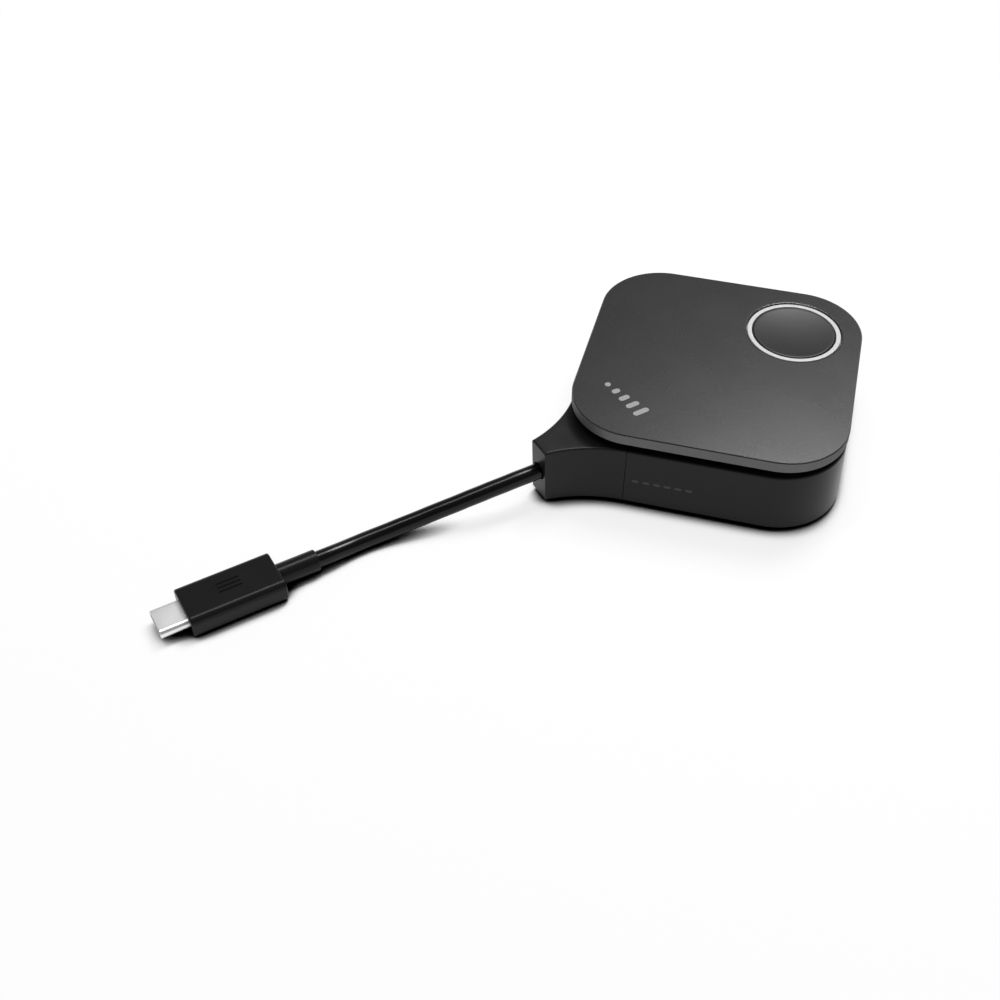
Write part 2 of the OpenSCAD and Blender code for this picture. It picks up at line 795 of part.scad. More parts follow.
module status_leds() {
    color("#f4f2e6") translate([button_x, 0, 0])
        for (i = [0:led_count - 1]) rotate([0, 0, (i + 0.5) * 360 / led_count])
            box([skirt_r - skirt_wall / 2, 0], button_top_z, led_size);
}

// Electronics

module main_board() {
    color("#1f5f3a") difference() {
        diamond_block(board_side / 2, board_corner, board_z, board_t);
        for (p = boss_places) translate([p[0], p[1], board_z - overrun])
            cylinder(r = boss_r + board_gap, h = board_t + 2 * overrun);
        board_turn() for (p = board_screw_places) translate([p[0], p[1], board_z - overrun])
            cylinder(r = screw_r + shank_gap, h = board_t + 2 * overrun);
        relief_room();
    }
}

module board_screws() {
    color("#9a9a9c") board_turn() for (p = board_screw_places)
        translate([p[0], p[1], board_top]) mirror([0, 0, 1]) screw(board_screw_len - fit_gap);
}

module processor() {
    color("#1b1b1d") board_turn() box(chip_place, board_top, [chip_side, chip_side, chip_h]);
}

module thermal_pad() {
    color("#7f8f9c") board_turn()
        box(chip_place, board_top + chip_h, [thermal_side, thermal_side, thermal_t]);
}

module heat_spreader() {
    color("#b4b6b8") board_turn()
        box(chip_place, board_top + chip_h + thermal_t, [spreader_side, spreader_side, spreader_t]);
}

module memory_chips() {
    color("#1b1b1d") board_turn() for (p = memory_places) box(p, board_top, memory_size);
}

module power_coils() {
    color("#6a6a6e") board_turn() for (p = coil_places) translate([p[0], p[1], board_top]) {
        box([0, 0], 0, [coil_side, coil_side - 2 * coil_corner, coil_h]);
        box([0, 0], 0, [coil_side - 2 * coil_corner, coil_side, coil_h]);
        for (sx = [-1, 1], sy = [-1, 1])
            translate([sx, sy, 0] * (coil_side / 2 - coil_corner)) cylinder(r = coil_corner, h = coil_h);
    }
}

module capacitors() {
    color("#8a7a66") board_turn() for (p = capacitor_places, i = [0:capacitor_count - 1])
        box([p[0] + i * capacitor_pitch, p[1]], board_top, capacitor_size);
}

module radio_module() {
    color("#173f7a") board_turn() box(radio_place, board_top, [radio_len, radio_w, radio_t]);
}

module radio_shield() {
    place = [radio_place[0], radio_place[1] - radio_w / 2 + shield_inset + shield_size[1] / 2];
    inner = shield_size - [2, 2, 1] * shield_wall;
    color("#bfc1c3") board_turn() difference() {
        box(place, board_top + radio_t, shield_size);
        box(place, board_top + radio_t - overrun, inner + [0, 0, overrun]);
    }
}

module antennas() {
    color("#c09a3c") for (s = [-1, 1])
        box([0, s * (antenna_y - antenna_t / 2)], antenna_z, [antenna_len, antenna_t, antenna_h]);
}

// Point of the puck for a point in the board's own directions
function board_point(p, z) = [(p[0] + p[1]) * cos(45), (p[1] - p[0]) * cos(45), z];

module antenna_leads() {
    plug_z0 = board_top + radio_t;
    y = antenna_y - antenna_t;
    z = antenna_z + antenna_h / 3;
    near = board_point(lead_plug_places[0], plug_z0 + lead_plug_h);
    far = board_point(lead_plug_places[1], plug_z0 + lead_plug_h);
    over = board_top + max(chip_h + thermal_t + spreader_t, radio_t + shield_size[2]) + lead_r + slip;
    color("#3a3a3c") {
        for (p = lead_plug_places) translate(board_point(p, plug_z0))
            cylinder(r = lead_plug_r, h = lead_plug_h);
        tube([[0, y, z], [0, y - 3 * lead_plug_r, z], near + [0, 3, 2] * lead_plug_r,
            near + [0, 0, lead_r]], lead_r, wire_sides, [0, -1, 0], [0, -1, 0]);
        tube([[0, -y, z], [0, -y + 3 * lead_plug_r, z], [chip_place[0], -spreader_side / 2, over],
            [chip_place[0], spreader_side / 2, over], [far[0], far[1] - 2.6 * lead_plug_r, over],
            far + [0, 0, lead_r]], lead_r, wire_sides, [0, 1, 0], [0, 1, 0]);
    }
}

module ribbon_cable() {
    u1 = button_uv - upper_socket_u - socket_size[0] / 2;
    u2 = button_uv - lower_socket_u + socket_size[0] / 2;
    z1 = button_board_z - socket_size[2] / 2;
    z2 = board_top + socket_size[2] / 2;
    h = ribbon_t / 2;
    color("#d6cfc0") board_turn() translate([0, button_uv + ribbon_w / 2, 0]) rotate([90, 0, 0])
        linear_extrude(ribbon_w) polygon([
            [u1, z1 + h], [u1 - ribbon_stub, z1 + h], [u2 + ribbon_stub, z2 + h], [u2, z2 + h],
            [u2, z2 - h], [u2 + ribbon_stub, z2 - h], [u1 - ribbon_stub, z1 - h], [u1, z1 - h]
        ]);
}

module ribbon_sockets() {
    color("#e6e2d6") board_turn() {
        box([button_uv - upper_socket_u, button_uv], button_board_z - socket_size[2], socket_size);
        box([button_uv - lower_socket_u, button_uv], board_top, socket_size);
    }
}

// Lead

module cable_header() {
    color("#e2ded2") translate([-header_x, -header_size[1] / 2, board_top]) cube(header_size);
}

module header_plug() {
    z = board_top + (header_size[2] - header_plug_size[2]) / 2;
    color("#d2cdbf") translate([-header_x - header_plug_size[0], -header_plug_size[1] / 2, z])
        cube(header_plug_size);
}

module cable_wires() {
    x1 = -header_x - header_plug_size[0];
    z1 = board_top + header_size[2] / 2;
    color("#b03a2e") for (i = [0:wire_count - 1]) {
        k = i - (wire_count - 1) / 2;
        tube([
            [lead_end_x, k * wire_pitch[0], cable_h], [lead_end_x + wire_stub, k * wire_pitch[0], cable_h],
            [x1 - wire_stub, k * wire_pitch[1], z1], [x1, k * wire_pitch[1], z1]
        ], wire_d / 2, wire_sides, [1, 0, 0], [1, 0, 0]);
    }
}

module cable_lead() {
    color("#101010") translate([-neck_reach, 0, cable_h]) rotate([0, 90, 0])
        cylinder(r = cable_d / 2, h = lead_len);
}

module strain_relief() {
    color("#161616") difference() {
        union() {
            translate([relief_x, 0, cable_h]) rotate([0, 90, 0]) cylinder(r = relief_d / 2, h = relief_len);
            translate([relief_flange_x, 0, cable_h]) rotate([0, 90, 0])
                cylinder(r = relief_flange_d / 2, h = relief_flange_t);
        }
        translate([relief_x - overrun, 0, cable_h]) rotate([0, 90, 0])
            cylinder(r = cable_d / 2 + slip, h = relief_len + 2 * overrun);
    }
}

module cable() {
    last = len(cable_route) - 1;
    color("#0f0f0f") tube([for (i = [0:ring_step:last]) cable_route[i]], cable_d / 2, cable_sides,
        [-1, 0, 0], [-1, 0, 0]);
}

// Plug

module at_plug() {
    translate([0, plug_y, plug_z]) children();
}

module plug_sleeve() {
    color("#141414") at_plug() difference() {
        translate([grip_x, 0, 0]) rotate([0, 90, 0]) {
            cylinder(r = sleeve_d / 2, h = sleeve_len - sleeve_bevel);
            translate([0, 0, sleeve_len - sleeve_bevel])
                cylinder(r1 = sleeve_d / 2, r2 = sleeve_d / 2 - sleeve_bevel, h = sleeve_bevel);
        }
        translate([grip_x - overrun, 0, 0]) rotate([0, 90, 0])
            cylinder(r = cable_d / 2 + slip, h = sleeve_len + 2 * overrun);
    }
}

module plug_mould() {
    cavity_x = shell_rear_x - grip_bevel;
    color("#1e1e1e") at_plug() difference() {
        rotate([90, 0, -90]) loft([
            grip_outline(grip_bevel), grip_outline(0), grip_outline(0), grip_outline(grip_bevel)
        ], [-grip_x, -grip_x + grip_bevel, -grip_front_x - grip_bevel, -grip_front_x]);
        stadium_bar(shell_w + 2 * slip, shell_h + 2 * slip, grip_front_x - overrun, shell_in + overrun);
        translate([cavity_x, -pocket_w / 2, -pocket_h / 2])
            cube([grip_x - grip_wall - cavity_x, pocket_w, pocket_h]);
        translate([grip_x - tail_len + sleeve_len, 0, 0]) rotate([0, 90, 0])
            cylinder(r = cable_d / 2 + slip, h = tail_len);
    }
}

module plug_shell() {
    color("#d4d6d8") at_plug() difference() {
        stadium_bar(shell_w, shell_h, shell_tip_x, shell_rear_x - shell_tip_x);
        stadium_bar(shell_w - 2 * shell_t, shell_h - 2 * shell_t, shell_tip_x - overrun,
            shell_rear_x - shell_tip_x + 2 * overrun);
    }
}

module plug_insulator() {
    x = shell_tip_x + insulator_inset;
    color("#151515") at_plug() difference() {
        stadium_bar(shell_w - 2 * (shell_t + slip), shell_h - 2 * (shell_t + slip), x, shell_rear_x - x);
        translate([x - overrun, -slot_w / 2, -slot_h / 2]) cube([slot_depth + overrun, slot_w, slot_h]);
    }
}

module plug_contacts() {
    x = shell_tip_x + insulator_inset + slot_depth - contact_size[0];
    color("#d6b25a") at_plug() for (s = [-1, 1], i = [0:contact_count - 1])
        translate([x, (i - (contact_count - 1) / 2) * contact_pitch - contact_size[1] / 2,
            s * (slot_h - contact_size[2]) / 2 - contact_size[2] / 2])
            cube(contact_size);
}

module plug_tail() {
    color("#101010") at_plug() translate([sleeve_x - tail_len, 0, 0]) rotate([0, 90, 0])
        cylinder(r = cable_d / 2, h = tail_len);
}

module plug_card() {
    color("#1e5a38") at_plug() translate([shell_rear_x, -card_size[1] / 2, -card_size[2] / 2])
        cube(card_size);
}

base_shell();
neck_cover();
bottom_cover();
foot_pad();
cover_screws();
top_frame();
frame_screws();
top_plate();
plate_tape();
light_ring();
button_cap();
button_carrier();
return_spring();
button_board();
switch_body();
switch_cover();
switch_stem();
status_leds();
main_board();
board_screws();
processor();
thermal_pad();
heat_spreader();
memory_chips();
power_coils();
capacitors();
radio_module();
radio_shield();
antennas();
antenna_leads();
ribbon_cable();
ribbon_sockets();
cable_header();
header_plug();
cable_wires();
cable_lead();
strain_relief();
cable();
plug_sleeve();
plug_mould();
plug_shell();
plug_insulator();
plug_contacts();
plug_tail();
plug_card();
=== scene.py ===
# Wireless presentation button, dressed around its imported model.
# Sizes here are in millimetres and become metres when a mesh is made.
import json
import math
import bpy
import bmesh
from mathutils import Matrix, Vector


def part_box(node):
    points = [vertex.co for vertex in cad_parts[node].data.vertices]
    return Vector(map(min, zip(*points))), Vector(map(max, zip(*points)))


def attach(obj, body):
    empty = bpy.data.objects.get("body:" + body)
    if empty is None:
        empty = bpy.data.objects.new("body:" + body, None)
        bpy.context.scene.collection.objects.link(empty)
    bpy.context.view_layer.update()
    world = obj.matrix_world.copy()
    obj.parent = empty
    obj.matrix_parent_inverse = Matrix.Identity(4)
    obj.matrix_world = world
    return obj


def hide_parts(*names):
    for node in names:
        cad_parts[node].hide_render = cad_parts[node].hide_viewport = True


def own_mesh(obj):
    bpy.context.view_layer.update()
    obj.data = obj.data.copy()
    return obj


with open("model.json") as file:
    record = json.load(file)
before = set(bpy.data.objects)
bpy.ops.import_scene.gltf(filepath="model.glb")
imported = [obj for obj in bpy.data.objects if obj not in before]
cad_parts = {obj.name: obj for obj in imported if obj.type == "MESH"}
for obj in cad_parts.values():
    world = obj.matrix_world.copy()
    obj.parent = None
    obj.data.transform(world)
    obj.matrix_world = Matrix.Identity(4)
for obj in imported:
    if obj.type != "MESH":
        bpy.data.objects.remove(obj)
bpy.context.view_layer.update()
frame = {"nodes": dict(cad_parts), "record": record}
mm = 0.001
print("frame loaded:", len(frame["nodes"]), "nodes")


def nodeBox(node):
    low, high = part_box(node)
    return low / mm, high / mm


def buttonCentre():
    low, high = nodeBox("button_cap")
    return ((low.x + high.x) / 2, 0)


# Camera: where the photograph was taken from, worked out from the outlines of the puck and the plug

photoCamera = {
    "place": (-173.0, -194.3, 229.35),
    "azimuth": -29.453,
    "elevation": 45.244,
    "roll": -0.273,
    "focalPixels": 1308.461,
    "imagePixels": 1000,
    "sensor": 36.0,
    "nearest": 10,
}


def makeCamera(look):
    turn, tilt, roll = (math.radians(look[k]) for k in ("azimuth", "elevation", "roll"))
    back = Vector((math.sin(turn) * math.cos(tilt), -math.cos(turn) * math.cos(tilt), math.sin(tilt)))
    right = Vector((math.cos(turn), math.sin(turn), 0))
    up = back.cross(right)
    rolledRight = right * math.cos(roll) + up * math.sin(roll)
    rolledUp = up * math.cos(roll) - right * math.sin(roll)
    lens = bpy.data.cameras.new("photoCamera")
    lens.sensor_width = look["sensor"]
    lens.lens = look["focalPixels"] / look["imagePixels"] * look["sensor"]
    lens.clip_start = look["nearest"] * mm
    camera = bpy.data.objects.new("photoCamera", lens)
    camera.matrix_world = Matrix((rolledRight, rolledUp, back)).transposed().to_4x4()
    camera.location = Vector(look["place"]) * mm
    bpy.context.scene.collection.objects.link(camera)
    bpy.context.scene.camera = camera


makeCamera(photoCamera)
print("camera placed")


# Cord: the short lead between the neck and the plug

leadSizes = {
    "diameter": 4.05,
    "route": [
        (-52.7, 0, 9), (-56, 0, 9), (-59, 0.1, 8.95), (-62, 0.3, 8.7), (-65, 0.7, 8.3),
        (-68, 1.2, 7.7), (-71, 1.75, 7.1), (-74, 2.4, 6.3), (-77, 3.1, 5.55), (-80.5, 3.9, 4.65),
        (-84, 4.6, 3.8), (-87.5, 5.25, 3.1), (-91, 5.75, 2.5), (-94, 6.05, 2.2), (-97, 6.15, 2.1),
        (-100, 6.05, 2.15), (-103, 5.75, 2.45), (-106, 5.4, 2.85), (-109.4, 5.3, 3),
    ],
    "roundSteps": 12,
    "lengthSteps": 6,
}


def roundLine(name, points, diameter, roundSteps, lengthSteps):
    # a round line through the points, turned into a mesh
    curve = bpy.data.curves.new(name, "CURVE")
    curve.dimensions = "3D"
    curve.bevel_depth = diameter / 2 * mm
    curve.bevel_resolution = roundSteps
    curve.resolution_u = lengthSteps
    curve.use_fill_caps = True
    spline = curve.splines.new("BEZIER")
    spline.bezier_points.add(len(points) - 1)
    for knot, point in zip(spline.bezier_points, points):
        knot.co = Vector(point) * mm
        knot.handle_left_type = "AUTO"
        knot.handle_right_type = "AUTO"
    line = bpy.data.objects.new(name, curve)
    bpy.context.scene.collection.objects.link(line)
    mesh = bpy.data.meshes.new_from_object(line.evaluated_get(bpy.context.evaluated_depsgraph_get()))
    bpy.data.objects.remove(line)
    piece = bpy.data.objects.new(name, mesh)
    bpy.context.scene.collection.objects.link(piece)
    return piece


def routeLength(route):
    return sum((Vector(b) - Vector(a)).length for a, b in zip(route, route[1:]))


lead = roundLine("lead", leadSizes["route"], leadSizes["diameter"], leadSizes["roundSteps"],
                 leadSizes["lengthSteps"])
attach(lead, "root")
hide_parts("cable")
print("lead laid:", round(routeLength(leadSizes["route"]), 1), "mm")


# Outlines: a square with round corners that stands on its corner, and the same with the neck drawn out

def arc(centre, radius, start, end, steps):
    angles = [math.radians(start + (end - start) * i / steps) for i in range(steps + 1)]
    return [(centre[0] + radius * math.cos(a), centre[1] + radius * math.sin(a)) for a in angles]


def squareOutline(half, corner, steps):
    far = (half - corner) * math.sqrt(2)
    points = []
    for turn in (0, 90, 180, 270):
        a = math.radians(turn)
        points += arc((far * math.cos(a), far * math.sin(a)), corner, turn - 45, turn + 45, steps)
    return points


puckSizes = {
    "side": 67.0,
    "corner": 16.9,
    "flare": 0.65,
    "wall": 1.8,
    "deck": 1.6,
    "rimRound": 0.55,
    "footRound": 0.25,
    "neckReach": 52.7,
    "neckTuck": 0.5,
    "neckEndWidth": 6.0,
    "neckStart": 16.6,
    "neckNose": 6.7,
    "seamGap": 0.1,
    "seamRound": 0.07,
    "blockReach": (-10, 40),
    "holeGap": 0.25,
    "drillOverrun": 5,
    "drillSteps": 64,
    "cornerSteps": 32,
    "neckSteps": 36,
}


def neckArc(sizes, half, reach):
    # the concave arc that leaves a straight wall and ends at the neck's tip: its centre and radius
    foot = Vector((half + sizes["neckStart"], half - sizes["neckStart"])) * -math.sqrt(0.5)
    run = Vector((-reach, -sizes["neckEndWidth"] / 2)) - foot
    radius = -run.length_squared / (2 * math.sqrt(0.5) * (run.x + run.y))
    return foot - Vector((1, 1)) * radius * math.sqrt(0.5), radius


def puckOutline(sizes, half, reach, tip, inset):
    # the housing's outline, drawn in by an inset, with the neck cut off at the tip
    corner = sizes["corner"] - inset
    far = (half - sizes["corner"]) * math.sqrt(2)
    centre, radius = neckArc(sizes, half, reach)
    radius += inset
    end = math.degrees(math.acos((-tip - centre.x) / radius))
    upper = arc((centre.x, -centre.y), radius, -45, -end, sizes["neckSteps"])
    lower = arc(centre, radius, end, 45, sizes["neckSteps"])
    return (arc((far, 0), corner, -45, 45, sizes["cornerSteps"])
            + arc((0, far), corner, 45, 135, sizes["cornerSteps"])
            + upper + lower
            + arc((0, -far), corner, 225, 315, sizes["cornerSteps"]))


# Mesh tools: rounded profiles, rings joined to a skin, flat fills and carving

meshDetail = {
    "cornerSteps": 5,
    "flatShare": 3,
    "weldReach": 0.0001,
    "sharpAngle": 38,
    "edgeSteps": 2,
}


def softProfile(corners):
    # corners (across, along, radius) turned into a profile's points, each rounded by its radius
    steps = meshDetail["cornerSteps"]
    points = []
    for i, (across, along, radius) in enumerate(corners):
        here = Vector((across, along))
        if radius == 0:
            points.append(here)
            continue
        before = (Vector(corners[i - 1][:2]) - here).normalized()
        after = (Vector(corners[(i + 1) % len(corners)][:2]) - here).normalized()
        half = before.angle(after) / 2
        centre = here + (before + after).normalized() * radius / math.sin(half)
        start = here + before * radius / math.tan(half) - centre
        end = here + after * radius / math.tan(half) - centre
        sweep = start.angle_signed(end)
        for k in range(steps + 1):
            turned = start.copy()
            turned.rotate(Matrix.Rotation(-sweep * k / steps, 2))
            points.append(centre + turned)
    return points


def flatFrom(edgeRound):
    # a ring this far in keeps a flat face flat beside its rounded edge
    return meshDetail["flatShare"] * edgeRound


def roundRing(centre, radius, height, steps):
    return [(x, y, height) for x, y in arc(centre, radius, 0, 360, steps)[:-1]]


def acrossRing(outline, along, centre):
    # an outline that stands across X
    return [(along, centre[0] + y, centre[1] + z) for y, z in outline]


def joinRings(shape, rings, closed=False):
    loops = [[shape.verts.new(Vector(point) * mm) for point in ring] for ring in rings]
    following = loops[1:] + (loops[:1] if closed else [])
    for low, high in zip(loops, following):
        for i in range(len(low)):
            j = (i + 1) % len(low)
            shape.faces.new((low[i], low[j], high[j], high[i]))
    return loops


def joinSolid(shape, rings):
    # rings joined to a skin, with a flat face on both ends
    loops = joinRings(shape, rings)
    shape.faces.new(loops[0])
    shape.faces.new(loops[-1])


def fillBetween(shape, *loops):
    edges = [shape.edges.get((loop[i - 1], loop[i])) for loop in loops for i in range(len(loop))]
    bmesh.ops.triangle_fill(shape, use_beauty=True, use_dissolve=False, edges=edges)


def newObject(name, shape, material):
    bmesh.ops.remove_doubles(shape, verts=shape.verts, dist=meshDetail["weldReach"] * mm)
    bmesh.ops.recalc_face_normals(shape, faces=shape.faces)
    mesh = bpy.data.meshes.new(name)
    shape.to_mesh(mesh)
    shape.free()
    piece = bpy.data.objects.new(name, mesh)
    bpy.context.scene.collection.objects.link(piece)
    mesh.materials.append(material)
    return piece


def applyModifiers(piece):
    graph = bpy.context.evaluated_depsgraph_get()
    mesh = bpy.data.meshes.new_from_object(piece.evaluated_get(graph))
    piece.modifiers.clear()
    piece.data = mesh


def carve(piece, cutter, operation="DIFFERENCE"):
    cut = piece.modifiers.new("cut", "BOOLEAN")
    cut.operation = operation
    cut.solver = "EXACT"
    cut.material_mode = "TRANSFER"
    cut.object = cutter
    applyModifiers(piece)
    bpy.data.objects.remove(cutter)


def finishSurface(piece, edgeRound=0):
    # small rounds on what is still sharp, then normals that keep the flats flat
    sharp = math.radians(meshDetail["sharpAngle"])
    if edgeRound:
        bevel = piece.modifiers.new("edges", "BEVEL")
        bevel.width = edgeRound * mm
        bevel.segments = meshDetail["edgeSteps"]
        bevel.limit_method = "ANGLE"
        bevel.angle_limit = sharp
        bevel.use_clamp_overlap = True
        applyModifiers(piece)
    for face in piece.data.polygons:
        face.use_smooth = True
    piece.data.set_sharp_from_angle(angle=sharp)
    weigh = piece.modifiers.new("normals", "WEIGHTED_NORMAL")
    weigh.keep_sharp = True
    applyModifiers(piece)
    return piece


def place(piece, body, slot, *nodes):
    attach(piece, body)
    if nodes:
        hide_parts(*nodes)


# Finishes

noiseRange = (0.3, 0.7)
marksDetail = 4.0


def shaderOf(name):
    material = bpy.data.materials.new(name)
    material.use_nodes = True
    return material, material.node_tree, material.node_tree.nodes["Principled BSDF"]


def objectSpace(tree):
    return tree.nodes.new("ShaderNodeTexCoord").outputs["Object"]


def grains(tree, size, detail=2.0):
    # noise in the object's own space, its patches about one size across
    noise = tree.nodes.new("ShaderNodeTexNoise")
    noise.inputs["Scale"].default_value = 1 / (size * mm)
    noise.inputs["Detail"].default_value = detail
    tree.links.new(objectSpace(tree), noise.inputs["Vector"])
    return noise.outputs["Fac"]


def remap(tree, value, source, target, easing="LINEAR"):
    # a value's range turned into another
    change = tree.nodes.new("ShaderNodeMapRange")
    change.interpolation_type = easing
    for name, number in zip(("From Min", "From Max", "To Min", "To Max"), (*source, *target)):
        change.inputs[name].default_value = number
    tree.links.new(value, change.inputs["Value"])
    return change.outputs["Result"]


def spread(tree, value, low, high):
    # a noise value stretched to a range
    return remap(tree, value, noiseRange, (low, high))


def blendColours(tree, value, first, second):
    ramp = tree.nodes.new("ShaderNodeValToRGB")
    for element, position, colour in zip(ramp.color_ramp.elements, noiseRange, (first, second)):
        element.position = position
        element.color = (*colour, 1)
    tree.links.new(value, ramp.inputs["Fac"])
    return ramp.outputs["Color"]


def roughen(tree, shader, value, depth):
    bump = tree.nodes.new("ShaderNodeBump")
    bump.inputs["Distance"].default_value = depth * mm
    tree.links.new(value, bump.inputs["Height"])
    tree.links.new(bump.outputs["Normal"], shader.inputs["Normal"])


def mottle(tree, shader, size, low, high, detail=2.0):
    # a gloss that differs a little from place to place
    tree.links.new(spread(tree, grains(tree, size, detail), low, high), shader.inputs["Roughness"])


def tinted(colour, factor):
    return tuple(min(1.0, part * factor) for part in colour)


def surface(name, colour, roughness, metallic=0.0, specular=0.5, grain=0.1, depth=0.004, shade=0.12,
            smudge=0.06, smudgeSize=9.0):
    # a moulded or drawn surface: fine grain in colour and relief, and faint handling marks in its gloss
    material, tree, shader = shaderOf(name)
    fine = grains(tree, grain)
    tree.links.new(blendColours(tree, fine, tinted(colour, 1 - shade), tinted(colour, 1 + shade)),
                   shader.inputs["Base Color"])
    mottle(tree, shader, smudgeSize, roughness - smudge, roughness + smudge, marksDetail)
    roughen(tree, shader, fine, depth)
    shader.inputs["Metallic"].default_value = metallic
    shader.inputs["Specular IOR Level"].default_value = specular
    return material


paintLook = {
    "flakeSize": 0.3,
    "dim": 0.96,
    "bright": 1.03,
    "brightUpTo": 0.8,
    "peelSize": 1.5,
    "peelDepth": 0.0005,
    "marksSize": 14.0,
    "marksSwing": 0.008,
    "metallic": 0.92,
    "specular": 0.3,
}


def sparklePaint(name, colour, flake, roughness):
    # metallic paint: fine flakes of differing brightness under a very faint orange peel
    look = paintLook
    material, tree, shader = shaderOf(name)
    cells = tree.nodes.new("ShaderNodeTexVoronoi")
    cells.inputs["Scale"].default_value = 1 / (look["flakeSize"] * mm)
    tree.links.new(objectSpace(tree), cells.inputs["Vector"])
    split = tree.nodes.new("ShaderNodeSeparateColor")
    tree.links.new(cells.outputs["Color"], split.inputs["Color"])
    ramp = tree.nodes.new("ShaderNodeValToRGB")
    ramp.color_ramp.elements[0].color = (*tinted(colour, look["dim"]), 1)
    ramp.color_ramp.elements[1].color = (*flake, 1)
    middle = ramp.color_ramp.elements.new(look["brightUpTo"])
    middle.color = (*tinted(colour, look["bright"]), 1)
    tree.links.new(split.outputs["Red"], ramp.inputs["Fac"])
    tree.links.new(ramp.outputs["Color"], shader.inputs["Base Color"])
    swing = look["marksSwing"]
    mottle(tree, shader, look["marksSize"], roughness - swing, roughness + swing, marksDetail)
    roughen(tree, shader, grains(tree, look["peelSize"]), look["peelDepth"])
    shader.inputs["Metallic"].default_value = look["metallic"]
    shader.inputs["Specular IOR Level"].default_value = look["specular"]
    return material


milkyLook = {
    "grain": 0.4,
    "dim": 0.97,
    "bright": 1.03,
    "depth": 0.002,
    "marksSize": 3.0,
    "roughness": (0.32, 0.4),
    "milkiness": 0.25,
    "lightReach": 0.6,
    "specular": 0.4,
}


def milkyPlastic(name, colour):
    # a pale plastic that light goes into a little
    look = milkyLook
    material, tree, shader = shaderOf(name)
    fine = grains(tree, look["grain"])
    dim, bright = tinted(colour, look["dim"]), tinted(colour, look["bright"])
    tree.links.new(blendColours(tree, fine, dim, bright), shader.inputs["Base Color"])
    mottle(tree, shader, look["marksSize"], *look["roughness"])
    roughen(tree, shader, fine, look["depth"])
    shader.inputs["Subsurface Weight"].default_value = look["milkiness"]
    shader.inputs["Subsurface Radius"].default_value = (1, 1, 1)
    shader.inputs["Subsurface Scale"].default_value = look["lightReach"] * mm
    shader.inputs["Specular IOR Level"].default_value = look["specular"]
    return material


boardLook = {
    "turn": 45,
    "cell": 8,
    "trackShare": 0.035,
    "dim": 0.85,
    "trackDepth": 0.01,
    "marksSize": 2.0,
    "roughness": (0.3, 0.4),
}


def solderMask(name, colour, copper):
    # a printed board: rows of tracks under the mask
    look = boardLook
    material, tree, shader = shaderOf(name)
    turn = tree.nodes.new("ShaderNodeMapping")
    turn.inputs["Rotation"].default_value[2] = math.radians(look["turn"])
    bricks = tree.nodes.new("ShaderNodeTexBrick")
    bricks.inputs["Scale"].default_value = 1 / (look["cell"] * mm)
    bricks.inputs["Mortar Size"].default_value = look["trackShare"]
    bricks.inputs["Color1"].default_value = (*colour, 1)
    bricks.inputs["Color2"].default_value = (*tinted(colour, look["dim"]), 1)
    bricks.inputs["Mortar"].default_value = (*copper, 1)
    tree.links.new(objectSpace(tree), turn.inputs["Vector"])
    tree.links.new(turn.outputs["Vector"], bricks.inputs["Vector"])
    tree.links.new(bricks.outputs["Color"], shader.inputs["Base Color"])
    mottle(tree, shader, look["marksSize"], *look["roughness"])
    roughen(tree, shader, bricks.outputs["Fac"], look["trackDepth"])
    return material


